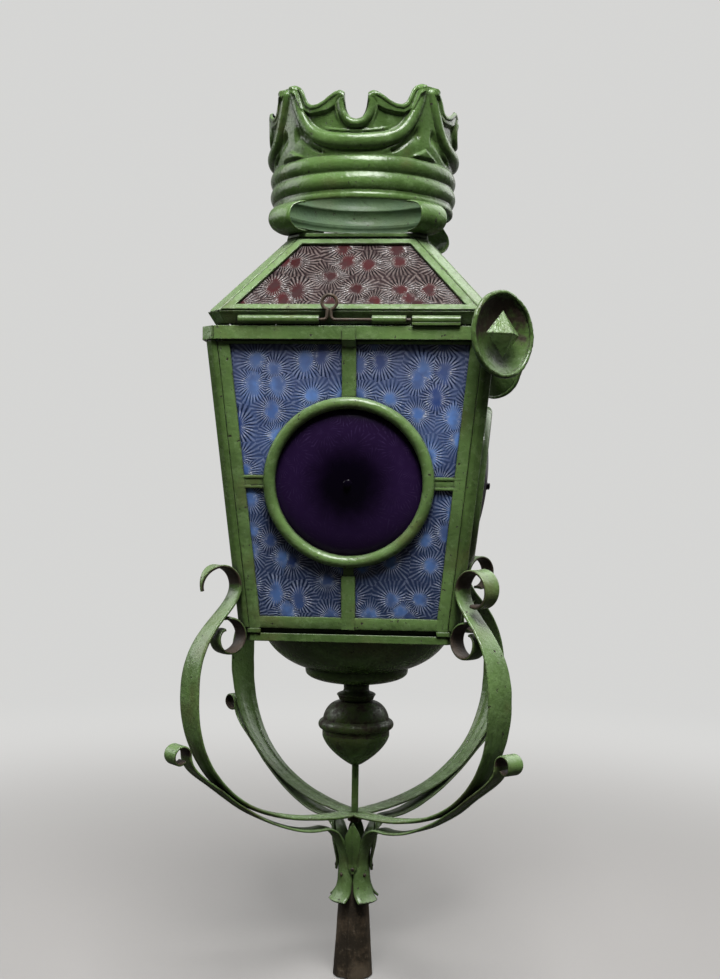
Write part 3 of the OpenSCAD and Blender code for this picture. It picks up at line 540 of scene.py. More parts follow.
class Stars:
    """Stars pressed into glass, one to each cell of a loose net."""

    def __init__(self, f, place, cell, heart_start, heart_end):
        inputs = {"Vector": place, "Scale": 1 / (cell * MM), "Randomness": 0.85}
        net = f.node("TexVoronoi", inputs, voronoi_dimensions="2D", feature="F1")
        away = f.node("VectorMath", {0: place, 1: net.outputs["Position"]}, operation="SUBTRACT")
        axes = f.axes(away.outputs[0])
        x, y = axes["X"], axes["Y"]
        chance = f.node("SeparateColor", {0: net.outputs["Color"]}).outputs
        angle = f.math("ARCTAN2", y, x)
        count = f.math("ROUND", f.band(chance[1], 0, 1, *RAY_COUNTS))
        self.ripple = f.noise(place, 210, 3)
        turns = f.plus(f.times(angle, count), f.times(self.ripple, 3.5))
        self.chance = chance[0]
        # A ray's height goes from -1 in the groove to 1 on the ridge
        self.wave = f.math("SINE", turns)
        squeezed = f.times(y, f.band(chance[2], 0, 1, 0.55, 1.05))
        reach = f.math("SQRT", f.plus(f.times(x, x), f.times(squeezed, squeezed)))
        reach = f.times(reach, 1 / (cell * MM))
        blot = f.plus(f.times(f.noise(place, 130, 2), 0.30),
                      f.times(f.noise(place, 420, 2), 0.16))
        reach = f.plus(reach, f.minus(blot, 0.23))
        # A heart runs out between its rays, and rays that lie level catch the most light
        reach = f.plus(reach, f.times(self.wave, 0.055))
        self.level = f.math("ABSOLUTE", f.math("COSINE", angle))
        # 0 in the smooth heart of a star and 1 among its rays, which are strongest near the heart
        self.outside = f.band(reach, heart_start, heart_end)
        self.near = f.band(reach, 0.62, 0.30)


def star_glass(name, tones, cell, hearts, halos, valley, lines, gloss, dimmed):
    """Pressed glass covered with stars: smooth hearts with fine rays between them.

    hearts is where a heart ends, halos how much it shines out, valley the share of the ground's tone left in
    the grooves as painted shade and lines the strength of the painted highlight on the rays far from a heart
    and next to it. gloss is the specular level and the roughness. dimmed gives two heights: the glass is
    darkened below the first as painted shade, and greyer above the second.
    """
    ground, pale, grey, line, heart, bright_heart = tones
    f = Finish(name)
    place = f.place("UV")
    stars = Stars(f, place, cell, *hearts)
    near = stars.near
    ridge = f.times(f.band(stars.wave, 0.0, 0.7), stars.outside)
    groove = f.times(f.band(stars.wave, -0.1, -0.8), stars.outside)
    tone = f.blend(f.band(f.noise(place, 28, 2), 0.35, 0.68), ground, pale)
    core = f.blend(f.band(stars.chance, 0.15, 0.7), heart, bright_heart)
    core = f.blend(f.band(f.noise(place, 70, 2), 0.40, 0.66, 0.0, 0.7), core, pale)
    halo = f.times(near, f.band(stars.chance, 0.25, 0.8, 0.0, halos))
    tone = f.blend(halo, tone, bright_heart)
    tone = f.blend(stars.outside, core, tone)
    height = f.axes(f.place())["Z"]
    low, high = (z * MM for z in dimmed)
    tone = f.blend(f.band(height, high - 0.03, high + 0.04, 0.0, 0.75), tone, grey)
    # Painted shade: the glass is darkened below a height, less on the hearts
    dim = f.band(height, low + 0.06, low - 0.03, 0.0, 0.66)
    dim = f.times(dim, f.band(stars.outside, 0, 1, 0.6, 1.0))
    tone = f.blend(dim, tone, darker(ground, 0.15))
    # Painted shade: the grooves between rays are darkened, most near a heart
    tone = f.blend(f.times(groove, f.band(near, 0, 1, 0.3, 0.95)), tone, darker(ground, valley))
    # Painted highlight: ridges of the rays are lighter, most where they lie level and near a heart
    ridge_highlight = f.times(ridge, f.band(stars.ripple, 0.30, 0.62, 0.15, 1.0))
    ridge_highlight = f.times(ridge_highlight, f.band(stars.level, 0.2, 0.9, 0.65, 1.0))
    tone = f.blend(f.times(ridge_highlight, f.band(near, 0, 1, *lines)), tone, line)
    # Painted glints: small near-white spots on the brightest ridges
    glint = f.times(f.band(f.noise(place, 620, 1), 0.54, 0.62), ridge_highlight)
    glint = f.times(glint, f.band(stars.level, 0.6, 0.95, 0.25, 1.0))
    tone = f.blend(f.times(glint, near), tone, tuple(0.60 + 0.4 * c for c in line))
    tone = f.blend(f.times(f.crevice(5), 0.8), tone, GLASS_SHADE)
    relief = f.times(f.times(stars.wave, stars.outside), f.band(near, 0, 1, 0.12, 0.32))
    relief = f.minus(relief, f.times(stars.outside, 0.35))
    relief = f.plus(relief, f.times(f.noise(place, 60, 2), 0.8))
    specular, roughness = gloss
    f.shade(Base_Color=tone, Roughness=roughness, IOR=1.5, Transmission_Weight=0.15)
    f.shade(Normal=f.bump(relief, 1.0, 0.4), Specular_IOR_Level=specular)
    return f.material


def lens_glass(name, ground, glow, line):
    """Deep coloured glass, darkest in the middle, with faint stars pressed in its back, and a rim painted
    lighter at the bottom and darker at the top as light and shade.
    """
    f = Finish(name)
    place = f.place("UV")
    radius = f.node("VectorMath", {0: place}, operation="LENGTH").outputs["Value"]
    stars = Stars(f, place, 24, 0.15, 0.25)
    grain = f.noise(place, 90, 3)
    rays = f.times(f.band(stars.wave, 0.3, 1.0), f.band(stars.ripple, 0.40, 0.66))
    rays = f.times(rays, stars.outside)
    reach = f.plus(radius, f.times(grain, 0.012))
    height = f.axes(place)["Y"]
    # Painted light and shade: the rim is lighter at the bottom and darker at the top
    rim = f.blend(f.band(height, -0.05, 0.05), glow, darker(glow, 0.45))
    tone = f.blend(f.band(reach, 0.019, 0.050), ground, rim)
    tone = f.blend(f.times(rays, f.band(radius, 0.014, 0.05, 0.0, 0.42)), tone, line)
    f.shade(Base_Color=tone, Roughness=f.band(radius, 0.004, 0.010, 0.06, 0.2))
    f.shade(IOR=1.45, Specular_IOR_Level=0.14)
    f.shade(Normal=f.bump(f.plus(grain, f.times(rays, 0.2)), 0.2, 0.4))
    return f.material


# Ground, pale ground, ground near the top, painted highlight of the rays, dull hearts and bright hearts of
# pressed glass
BLUES = [(0.052, 0.082, 0.200), (0.090, 0.135, 0.295), (0.100, 0.112, 0.196), (0.40, 0.455, 0.61),
         (0.036, 0.072, 0.245), (0.150, 0.30, 0.70)]
REDS = [(0.022, 0.0125, 0.013), (0.032, 0.017, 0.018), (0.031, 0.018, 0.0185), (0.190, 0.155, 0.143),
        (0.035, 0.0065, 0.007), (0.052, 0.009, 0.010)]

FINISHES = {
    "green_enamel": enamel(
        "green_enamel", (0.074, 0.131, 0.036), (0.100, 0.162, 0.055), wear=0.02, dust_and_sheen_share=0.45),
    "green_enamel_light": enamel(
        "green_enamel_light", (0.109, 0.187, 0.057), (0.138, 0.217, 0.084), wear=0.04, dust_and_sheen_share=0.5),
    "green_enamel_crown": enamel(
        "green_enamel_crown", (0.084, 0.155, 0.041), (0.110, 0.186, 0.063), wear=0.0, dust_and_sheen_share=0.12),
    "rusty_iron": rusty_iron("rusty_iron", (0.024, 0.018, 0.011), (0.070, 0.047, 0.025), scale=1.0),
    "brown_wire": rusty_iron("brown_wire", (0.028, 0.018, 0.010), (0.062, 0.036, 0.018), scale=2.0),
    "blue_glass": star_glass(
        "blue_glass", BLUES, cell=22, hearts=(0.14, 0.29), halos=0.5, valley=0.20, lines=(0.34, 0.85),
        gloss=(0.27, 0.14), dimmed=(FLOOR_Z + 90, FLOOR_Z + 0.86 * BODY_H)),
    "roof_glass": star_glass(
        "roof_glass", REDS, cell=24, hearts=(0.19, 0.27), halos=0.0, valley=0.20, lines=(0.70, 0.95),
        gloss=(0.07, 0.24), dimmed=(EAVE_Z - 200, EAVE_Z + 300)),
    "purple_lens_glass": lens_glass(
        "purple_lens_glass", (0.002, 0.001, 0.004), (0.025, 0.0105, 0.050), (0.048, 0.028, 0.083)),
}


# Bent straps

# Shares of half a strap's width: points across it, where its edge starts to round and where it is worn
ACROSS = [0.2, 0.38, 0.47, 0.56, 0.7, 0.86, 0.94, 0.985, 1]
SECTION = [-share for share in ACROSS[::-1]] + [0] + ACROSS
EDGE_START = 0.86
WORN_START = 0.93
# How far a strap's edges are worn through, how far it leans to one side in millimetres, and how its width
# varies
EDGE_WEAR = 0.40
LEAN = 0.5
WIDTH_CHANGE = 0.025


def strip_section(half_width, thickness, relief):
    """Closed outline of a strap's section: (sideways, outwards) points with round edges."""
    outer = []
    inner = []
    for share in SECTION:
        rim = max(0.0, (abs(share) - EDGE_START) / (1 - EDGE_START))
        half = thickness / 2 * math.sqrt(1 - rim * rim)
        outer.append((share * half_width, relief(share) + half))
        inner.append((share * half_width, relief(share) - half))
    return outer + inner[-2:0:-1]


def strap(path, half_width, relief, thickness, seed, step=2.0, bare_and_shade=None, wrapped=None):
    """A bent strap in the plane through +X, with its texture places.

    half_width, relief and bare follow its length; wrapped says where it is bent round the axis.
    """
    path = even_points(path, step)
    rings = []
    uv = []
    for index, point in enumerate(path):
        share = index / (len(path) - 1)
        out = right_of(path, index)
        lean = LEAN * wobble(index * 0.06, seed)
        width = half_width(share, point) * (1 + WIDTH_CHANGE * wobble(index * 0.21, seed + 5))

        def height(s):
            return relief(share, s) + lean * s

        ring = []
        for k, (s, n) in enumerate(strip_section(width, thickness, height)):
            x = point.x + out.x * n
            if wrapped and wrapped(point):
                x = math.sqrt(max(0.0, x * x - s * s))
            ring.append((x, s, point.y + out.y * n))
            worn = EDGE_WEAR if abs(s) > WORN_START * width else 0.0
            uv.append((max(worn, bare_and_shade(share, k < len(SECTION)) if bare_and_shade else 0.0), 0.0))
        rings.append(ring)
    return skin(rings), uv


def at_corners(part):
    """Copies of a piece at the four corners."""
    return joined([moved(part, turn_z(azimuth)) for azimuth in CORNERS.values()])


def banded(side):
    """Height across a strap with a raised band and a groove on each side of it."""
    side = abs(side)
    return 0.55 * ease(side, 0.47, 0.30) - 0.35 * roll(side - 0.5, 0.09, 1.0) - 0.3 * ease(side, 0.7, 1.0)


def dished(share, side):
    """Height across a strap that is hammered round."""
    return -0.5 * side * side


ARM_W = 25
ARM_END_W = 16
BULGE = Vector((165, 250))
SCROLL_R = 16.5
SCROLL_Z = FLOOR_Z + 33
CORNER_BEVEL = 5


def post_corner(z):
    """Distance from the axis to a post's cut corner at height z."""
    half = mix(HALF_BOTTOM, HALF_TOP, (z - FLOOR_Z) / BODY_H)
    return (2 * half - CORNER_BEVEL) / math.sqrt(2)


SCROLL_TOUCH = post_corner(SCROLL_Z) + SEAM + STRAP_T / 2
ARM_A = Vector((0, CROSS_Z))
ARM_B = Vector((0.73 * BULGE.x, CROSS_Z - 1))
ARM_C = Vector((BULGE.x + 3, mix(CROSS_Z, BULGE.y, 0.48)))
# How far round each arm's scroll is rolled, and its last radius and width as shares of the first
ARM_CURLS = {
    "fl": (-14, 0.82, 0.10),
    "fr": (-108, 0.70, 0.70),
    "rl": (-20, 0.88, 0.40),
    "rr": (-85, 0.74, 0.60),
}


def arm_path(corner):
    """An arm's line, and the share of it that lies before the scroll."""
    end, shrink, _ = ARM_CURLS[corner]
    rise = bezier(ARM_A, ARM_B, ARM_C, BULGE, 60)
    back = bezier(BULGE, BULGE + Vector((0, 50)), (SCROLL_TOUCH, SCROLL_Z - 21), (SCROLL_TOUCH, SCROLL_Z))
    curl = spiral((SCROLL_TOUCH + SCROLL_R, SCROLL_Z), SCROLL_R, shrink * SCROLL_R, 180, end)
    before = line_length(rise + back[1:])
    return rise + back[1:] + curl[1:], before / (before + line_length(curl))


def arm_relief(share, side):
    return banded(side) * ease(share, 0.62, 0.40) + dished(share, side) * ease(share, 0.3, 0.6)


def arm(corner, seed):
    """An arm strap in the plane through +X, unpainted inside its scroll."""
    path, scroll_at = arm_path(corner)
    tip = ARM_CURLS[corner][2]

    def half_width(share, point):
        low = ease(point.y, CROSS_Z + 2, BULGE.y)
        high = ease(point.y, SCROLL_Z - 10, BULGE.y) if share < scroll_at else 0.0
        end = mix(1.0, tip, ease(share, 0.90, 1.0) ** 1.5)
        return min(end * mix(ARM_END_W, ARM_W, min(low, high)) / 2, point.x + 0.4)

    def bare_and_shade(share, outer):
        return ease(share, scroll_at - 0.02, scroll_at + 0.02) if outer else 0.0

    return strap(path, half_width, arm_relief, STRAP_T, seed, bare_and_shade=bare_and_shade)


def arms():
    for index, (corner, azimuth) in enumerate(CORNERS.items()):
        part, uv = arm(corner, 10 * index)
        piece("arm_" + corner, moved(part, turn_z(azimuth)), "arm_strap_" + corner, uv=uv)


LOWER_T = 2.0
LOWER_W = 15
FLARE_W = 20.6
CURL_R = 7.5
SEAT_Z = SOCKET_H - 15
LOWER_BEND = Vector((38, CROSS_Z - 7))
BEND_RUN = Vector((2, 0))
FLARE_TIP = Vector((21, SEAT_Z - 16))
FOOT_TURN = 43.5
STRAP_GAP = 0.5
SOCKET_R = 16.8
SOCKET_TOP_R = 10.7
LOWER_SEAT = SEAM + LOWER_T / 2


def socket_out(z):
    return mix(SOCKET_R, SOCKET_TOP_R, z / SOCKET_H)


def lower_path():
    centre = Vector((BULGE.x + CURL_R + 2, mix(CROSS_Z, BULGE.y, 0.6)))
    ahead = (BULGE + ARM_C - ARM_B - ARM_A).normalized()
    gap = (STRAP_T + LOWER_T) / 2 + SEAM + STRAP_GAP
    touch = bezier(ARM_A, ARM_B, ARM_C, BULGE, 2)[1] + gap * Vector((ahead.y, -ahead.x))
    hug = Vector((socket_out(SOCKET_H - 2) + LOWER_SEAT, SOCKET_H - 2))
    seat = Vector((socket_out(SEAT_Z) + LOWER_SEAT, SEAT_Z))
    start = centre - Vector((CURL_R, 0))
    bend_top = LOWER_BEND + BEND_RUN
    bend_end = LOWER_BEND - BEND_RUN
    path = spiral(centre, 0.84 * CURL_R, CURL_R, -135, 180)
    path += bezier(start, start - Vector((0, 14)), touch + 26 * ahead, touch)[1:]
    path += bezier(touch, touch - 34 * ahead, bend_top + Vector((26, 0)), bend_top)[1:]
    path += bezier(bend_end, bend_end - Vector((14, 0)),
                   (SOCKET_TOP_R + LOWER_SEAT + 0.5, SOCKET_H + 14), hug)
    path += bezier(seat, (socket_out(SEAT_Z) + 2, SEAT_Z - 7), FLARE_TIP + Vector((-5, 4)), FLARE_TIP)
    return path


# Half width of a lower strap's foot at heights from its tip to the bend
FOOT_WIDTHS = [(FLARE_TIP.y - 4, 0.50), (FLARE_TIP.y + 2, 0.50), (SEAT_Z - 2, 0.43), (SEAT_Z + 2, 0.50),
               (SOCKET_H, 0.50), (SOCKET_H + 8, 0.32), (LOWER_BEND.y - 10, 0.32), (LOWER_BEND.y - 4, 0.364)]


def lower_half_width(share, point):
    if point.x > LOWER_BEND.x or point.y > LOWER_BEND.y + 1:
        return LOWER_W / 2 * mix(0.66, 1.0, ease(share, 0.0, 0.06))
    width = FOOT_WIDTHS[-1][1]
    for (z0, w0), (z1, w1) in zip(FOOT_WIDTHS, FOOT_WIDTHS[1:]):
        if z0 <= point.y < z1:
            width = mix(w0, w1, ease(point.y, z0, z1))
    return min(width * FLARE_W, point.x * math.sin(math.radians(FOOT_TURN)))


def lower_relief(share, side):
    return 0.8 * banded(side) * ease(share, 0.16, 0.26) * ease(share, 0.80, 0.74)


def lower_bare(share, outer):
    """Inside of the curl, and old wear on the underside next to it."""
    if outer:
        return 0.45 * ease(share, 0.17, 0.22) * ease(share, 0.45, 0.32)
    return ease(share, 0.16, 0.13)


def lower_wrapped(point):
    return point.x < LOWER_BEND.x and point.y < LOWER_BEND.y + 1


def lower_straps():
    for index, (corner, azimuth) in enumerate(CORNERS.items()):
        part, uv = strap(lower_path(), lower_half_width, lower_relief, LOWER_T, 10 * index + 3, 1.5,
                         lower_bare, lower_wrapped)
        piece("lower_" + corner, moved(part, turn_z(azimuth)), "lower_strap_" + corner, uv=uv)


CORNER_SCROLL_R = 15.2
CORNER_SCROLL_W = 14


def corner_scrolls():
    z = mix(TRAY_Z, TRAY_UNDER_Z + 1.5, 0.55)
    out = CORNER_SCROLL_R + LOWER_T / 2
    centre = (post_corner(FLOOR_Z) + SEAM + math.sqrt(out ** 2 - (FLOOR_Z - z) ** 2), z)
    path = spiral(centre, CORNER_SCROLL_R, CORNER_SCROLL_R, 78, 180)
    path += spiral(centre, CORNER_SCROLL_R, 0.45 * CORNER_SCROLL_R, 180, 430)[1:]

    def half_width(share, point):
        narrowed = mix(0.6, 1.0, ease(share, 0.0, 0.1)) * mix(1.0, 0.7, ease(share, 0.8, 1.0))
        return CORNER_SCROLL_W / 2 * narrowed

    def bare_and_shade(share, outer):
        return 0.0 if outer else 1.0

    part, uv = strap(path, half_width, dished, LOWER_T, 7, 1.6, bare_and_shade)
    piece("small_scrolls", at_corners(part), "corner_scrolls", uv=uv * len(CORNERS))


LEAF_T = 1.4
LEAF_W = 13.6
LEAF_ROOT_W = 7
LEAF_TIP_Z = CROSS_Z - STRAP_T / 2 - 3
LEAF_ROOT_Z = SOCKET_H - 8
LEAF_SEAT = 4 * SEAM + LOWER_T + LEAF_T / 2


def leaves():
    belly_z = mix(LEAF_ROOT_Z, LEAF_TIP_Z, 0.66)
    root_r = SOCKET_TOP_R + LEAF_SEAT
    path = [Vector((socket_out(LEAF_ROOT_Z) + LEAF_SEAT, LEAF_ROOT_Z))]
    path += bezier((root_r, SOCKET_H), (root_r + 1, SOCKET_H + 8), (root_r + 6, belly_z),
                   (root_r + 3, LEAF_TIP_Z))

    def half_width(share, point):
        if point.y < belly_z:
            width = mix(LEAF_ROOT_W, LEAF_W, ease(point.y, SOCKET_H - 6, belly_z)) / 2
            return width * mix(0.25, 1.0, ease(point.y, LEAF_ROOT_Z - 1, LEAF_ROOT_Z + 5))
        return max(0.3, LEAF_W / 2 * (1 - ((point.y - belly_z) / (LEAF_TIP_Z - belly_z)) ** 1.7))

    def relief(share, side):
        return 0.7 * ease(abs(side), 0.35, 0.0) + dished(share, side) * ease(share, 0.3, 0.6)

    parts = []
    for index in range(4):
        part, _ = strap(path, half_width, relief, LEAF_T, 10 * index + 2, 1.2, wrapped=lambda point: True)
        parts.append(moved(part, turn_z(90 * index)))
    piece("leaves", joined(parts), "socket_leaves")


def socket():
    """A rolled cone with a lapped seam, an uneven mouth and hammer marks."""
    wall = 1.3
    bore_r = 14.2
    bore_h = 20
    segments = 180
    seam_at = 0.715
    lap_depth = 1.0
    dents = 0.3
    mouth_wear = 1.6
    profile = [(bore_r, bore_h), (bore_r, 0.6), (bore_r + 0.7, 0.0), (SOCKET_R - 0.7, 0.0), (SOCKET_R, 0.7)]
    profile += [(socket_out(z), z) for z in range(3, int(SOCKET_H) - 1, 3)]
    profile += [(SOCKET_TOP_R, SOCKET_H - 0.6), (SOCKET_TOP_R - 0.4, SOCKET_H),
                (SOCKET_TOP_R - wall, SOCKET_H)]
    rings = []
    for index in range(segments):
        share = index / segments
        angle = 2 * math.pi * share
        flat = (math.cos(angle), math.sin(angle))
        past = (share - seam_at) % 1.0
        mouth = mouth_wear * max(0.0, wobble(1.6 * flat[0], 1.6 * flat[1], 2.0)) + 0.4 * ease(past, 0.1, 0.0)
        ring = []
        for r, z in profile:
            if r > bore_r + 0.1 or z > bore_h:
                r -= lap_depth * ease(past, 0.86, 0.995) + dents
                r += dents * wobble(3 * flat[0], 3 * flat[1], z * 0.05)
            ring.append((r * flat[0], r * flat[1], z + mouth * ease(z, 14, 0)))
        rings.append(ring)
    piece("socket", skin(rings, closed=True), "pole_socket")


# Turned and spun pieces

SHEET_T = 1.5
FINIAL_R = 28
BEAD_OUT = 3.5
COLLAR_R = 16.3
NECK_R = 10.4
STEP_R = 42.7
BOWL_R = 78
HOLE_R = ROD_R + SEAM


def turned(name, part, node, bare_and_shade):
    """A turned piece darkened to the same share all over with dark brown patches, as painted shade."""
    piece(name, part, node, uv=[(bare_and_shade, 0.0)] * len(part[0]))


def finial():
    half = SHEET_T / 2
    low_h = SEAM_Z - FINIAL_Z
    high_h = COLLAR_Z - SEAM_Z
    wall = FINIAL_R - half
    low = [Vector((HOLE_R, FINIAL_Z + half))]
    low += bezier((ROD_R + 1.5, FINIAL_Z + half), (FINIAL_R * 0.46, FINIAL_Z + low_h * 0.22),
                  (FINIAL_R * 0.87, FINIAL_Z + low_h * 0.56), (wall, SEAM_Z - 2))
    low += [Vector((wall, SEAM_Z - SEAM))]
    # Painted shade: both halves of the finial get dark brown patches, more on the upper one
    turned("finial_bottom", lathe(ribbon(low, SHEET_T)), "finial_lower", bare_and_shade=0.40)
    bead_z = SEAM_Z + high_h * 0.28
    bead_half = high_h * 0.13
    high = [Vector((wall, mix(SEAM_Z, bead_z, k / 12))) for k in range(12)]
    high += bezier((wall, bead_z), (wall, SEAM_Z + high_h * 0.72), (COLLAR_R + 4, COLLAR_Z - half),
                   (COLLAR_R - 3, COLLAR_Z - half - SEAM))
    high = [p + Vector((roll(p.y - bead_z, bead_half, BEAD_OUT), 0)) for p in high]
    high += [Vector((HOLE_R, COLLAR_Z - half - SEAM))]
    turned("finial_top", lathe(ribbon(high, SHEET_T)), "finial_upper", bare_and_shade=0.55)


def collar():
    height = STEP_Z - COLLAR_Z
    lip_z = COLLAR_Z + height * 0.34
    outline = [(COLLAR_R - 2.5, COLLAR_Z), (COLLAR_R - 1, lip_z - 1), (COLLAR_R + 0.3, lip_z + 0.3),
               (COLLAR_R - 1.4, lip_z + 1.6), (NECK_R + 1, lip_z + 2.6), (NECK_R, COLLAR_Z + height * 0.65),
               (NECK_R + 0.6, STEP_Z), (HOLE_R, STEP_Z), (HOLE_R, COLLAR_Z)]
    # Painted shade: the collar gets dark brown patches
    turned("collar", lathe(cut_corners([Vector(p) for p in outline])), "finial_collar", bare_and_shade=0.5)


def bowls():
    half = SHEET_T / 2
    step_h = BOWL_Z - STEP_Z
    step = [Vector((HOLE_R, STEP_Z + half))]
    step += bezier((NECK_R + 2, STEP_Z + half), (STEP_R * 0.72, STEP_Z + step_h * 0.16),
                   (STEP_R * 0.98, STEP_Z + step_h * 0.42), (STEP_R - half, STEP_Z + step_h * 0.74))
    step += [Vector((STEP_R + 0.2 - half, BOWL_Z - 2)), Vector((STEP_R - half, BOWL_Z - SEAM))]
    piece("saucer", lathe(ribbon(step, SHEET_T)), "bowl_step")
    bowl_h = TRAY_UNDER_Z - BOWL_Z
    rim = BOWL_R - half
    foot = STEP_R + 0.4
    wall = [Vector((HOLE_R, BOWL_Z + half))]
    wall += bezier((foot, BOWL_Z + half), (mix(foot, rim, 0.44), BOWL_Z + bowl_h * 0.15),
                   (mix(foot, rim, 0.84), BOWL_Z + bowl_h * 0.45), (rim, TRAY_Z - 0.3))
    wall += [Vector((rim, TRAY_UNDER_Z - SEAM))]
    piece("bowl_shell", lathe(ribbon(wall, SHEET_T), 160), "bowl")


# Glazed faces

POST_W = 9
GROOVE = 0.2
STRIP_W = 9.2
BAR_W = 11
LEVEL_W = 10.2
HEAD_W = 2.2
# The outer head strip rises a little behind the rail
HEAD_RISE = 0.6
STRIP_FRONT = -0.6
STRIP_BACK = -3.0
GLASS_T = 2.5
GLASS_GAP = 0.1
PANE_FRONT = STRIP_BACK - GLASS_GAP
PANE_BACK = PANE_FRONT - GLASS_T
CAME_BACK = PANE_BACK - 1.6
RING_R = 65.5
RING_W = 9.2
RING_OUT = 5.0
RING_V = FACE_LEN * 0.513
FLANGE_R = RING_R - RING_W / 2
PANE_HOLE_R = FLANGE_R + 0.3
FACE_HEAD = FACE_LEN - SEAM + CAME_BACK * math.tan(FACE_TILT)
CAP_T = 1.4
LIP = 0.7
LIP_W = 2.6
# The upright bar stops short of the ring, and a narrower and lower tongue reaches it
BAR_SHORT = 6.5
TONGUE_IN = 3
TONGUE_LOW = 1.2


def face_half(v):
    return HALF_BOTTOM + v * math.sin(FACE_TILT)


BAR_ROUND = 0.7
BAR_SWAY = 0.22
BAR_SWELL = 0.18
# A rounded corner's points as shares of its radius
ROUNDING = ((1, 0), (0.3, 0.3), (0, 1))


def bar(start, end, width, back, front, seed, round_r):
    """A painted bar in a face's frame between two (x, v) points, a little uneven."""
    start, end = Vector(start), Vector(end)
    along = (end - start).normalized()
    side = Vector((along.y, -along.x))
    count = max(2, round((end - start).length / 5))
    half = width / 2
    section = []
    for s, n in ((half, back), (half, front), (-half, front), (-half, back)):
        inwards = -1 if n == front else 1
        for ds, dn in ROUNDING if (s > 0) == (n == back) else ROUNDING[::-1]:
            section.append((s - math.copysign(ds * round_r, s), n + inwards * dn * round_r))
    rings = []
    for index in range(count + 1):
        middle = start.lerp(end, index / count) + side * BAR_SWAY * wobble(index * 0.23, seed)
        swell = BAR_SWELL * wobble(index * 0.31, seed + 9)
        ring = []
        for s, n in section:
            flat = middle + side * s
            ring.append((flat.x, -(n + (swell if n > mix(back, front, 0.5) else 0)), flat.y))
        rings.append(ring)
    return skin(rings)


def glazing_frame(side):
    """The strips that hold the panes of a face, seen from outside and from inside."""
    inset = POST_W + GROOVE
    foot = STRIP_W / 2 + SEAM
    outside = (STRIP_BACK, STRIP_FRONT, STRIP_W, BAR_W, LEVEL_W, RING_R + SEAM, HEAD_RISE)
    inside = (CAME_BACK, PANE_BACK - GLASS_GAP, STRIP_W - 1, BAR_W - 4, LEVEL_W - 4, FLANGE_R + 2, 0.0)
    parts = []
    for back, front, edge_w, bar_w, level_w, stop, head_rise in (outside, inside):
        seed = 31 * side + back
        edge = inset + edge_w / 2
        round_r = min(BAR_ROUND, (front - back) / 2.6)

        def add(start, end, width, number, lower=0.0, shape=1.0):
            parts.append(bar(start, end, width, back, front - lower, seed + number, round_r * shape))

        for s in (-1, 1):
            add((s * (face_half(0) - edge), SEAM), (s * (face_half(FACE_HEAD) - edge), FACE_HEAD), edge_w, s)
            near, far = s * stop, s * (face_half(RING_V) - edge)
            add((near, RING_V), (far, RING_V), level_w, 3 * s, lower=LIP)
            for v in (RING_V - (level_w - LIP_W) / 2, RING_V + (level_w - LIP_W) / 2):
                add((near, v), (far, v), LIP_W, 3 * s)
        head = FACE_HEAD - HEAD_W / 2 + head_rise / 2
        for v, width, number in ((foot, STRIP_W, 5), (head, HEAD_W + head_rise, 6)):
            add((edge - face_half(v), v), (face_half(v) - edge, v), width, number)
        add((0, SEAM), (0, RING_V - stop - BAR_SHORT), bar_w, 7)
        add((0, SEAM), (0, RING_V - stop), bar_w - TONGUE_IN, 7, lower=TONGUE_LOW, shape=0.5)
        add((0, RING_V + stop), (0, FACE_HEAD), bar_w, 8)
    return joined(parts)


def bar_cap(side):
    """The upright bar's end, lapped over the top rail, and shorter under the hinge."""
    rail_h = RAIL_TOP_Z - POST_TOP_Z
    cap_h = rail_h * 0.4 if SIDES[side] == "left" else rail_h - 1.5
    face = -(HALF_TOP + RAIL_OUT + SEAM)
    foot = on_face(side) @ Vector((0, -STRIP_FRONT, FACE_HEAD - HEAD_W))
    foot = turn_z(-90 * side) @ foot
    path = [Vector((-foot.y - CAP_T, foot.z - 2)), Vector((-face + CAP_T / 2, POST_TOP_Z)),
            Vector((-face + CAP_T / 2, POST_TOP_Z + cap_h))]

    def half_width(share, point):
        return BAR_W / 2 * mix(1.0, 0.9, ease(share, 0.9, 1.0))

    def relief(share, s):
        return 0.0

    return moved(strap(path, half_width, relief, CAP_T, 5 * side, 1.0)[0], turn_z(90 * side - 90))


def lens_ring():
    tube = RING_W / 2
    centre = Vector((RING_R - tube, RING_OUT - tube))
    arch = [centre + tube * Vector((math.cos(a), math.sin(a)))
            for a in (math.radians(10 * k) for k in range(19))]
    return lathe(arch + [Vector((RING_R - RING_W, STRIP_BACK)), Vector((RING_R, STRIP_BACK))], 180)


LENS_RISE = 8
KNOB_R = 3.2
KNOB_H = 2.8


def lens():
    half = GLASS_T / 2
    edge = RING_R - RING_W - 0.5
    base = PANE_FRONT - half
    top = LENS_RISE - half
    path = [Vector((0.02, top)), Vector((1, top))]
    shoulder = (edge * 0.88, mix(base, LENS_RISE, 0.52))
    path += bezier((1, top), (edge * 0.4, top), shoulder, (edge, base), 40)[1:]
    path += [Vector((FLANGE_R, base))]
    dome = lathe(ribbon(path, GLASS_T)[::-1], 180)
    knob_low = LENS_RISE - 0.4
    knob_top = LENS_RISE + KNOB_H - 0.2
    outline = [(0.01, knob_low), (KNOB_R + 0.8, knob_low), (KNOB_R, knob_low + 0.5),
               (KNOB_R * 0.8, knob_low + 1.6), (KNOB_R * 0.9, knob_top - 0.6), (KNOB_R * 0.5, knob_top),
               (0.01, knob_top)]
    knob = lathe([Vector(p) for p in outline], 48)
    return joined([dome, knob])


def flat_uv(points):
    """Texture places in metres round a lens's middle."""
    return [(p[0] * MM, p[1] * MM) for p in points]


PANE_EDGE = 3.6
PANE_HEAD = 1.6
BAR_GAP = 1.15


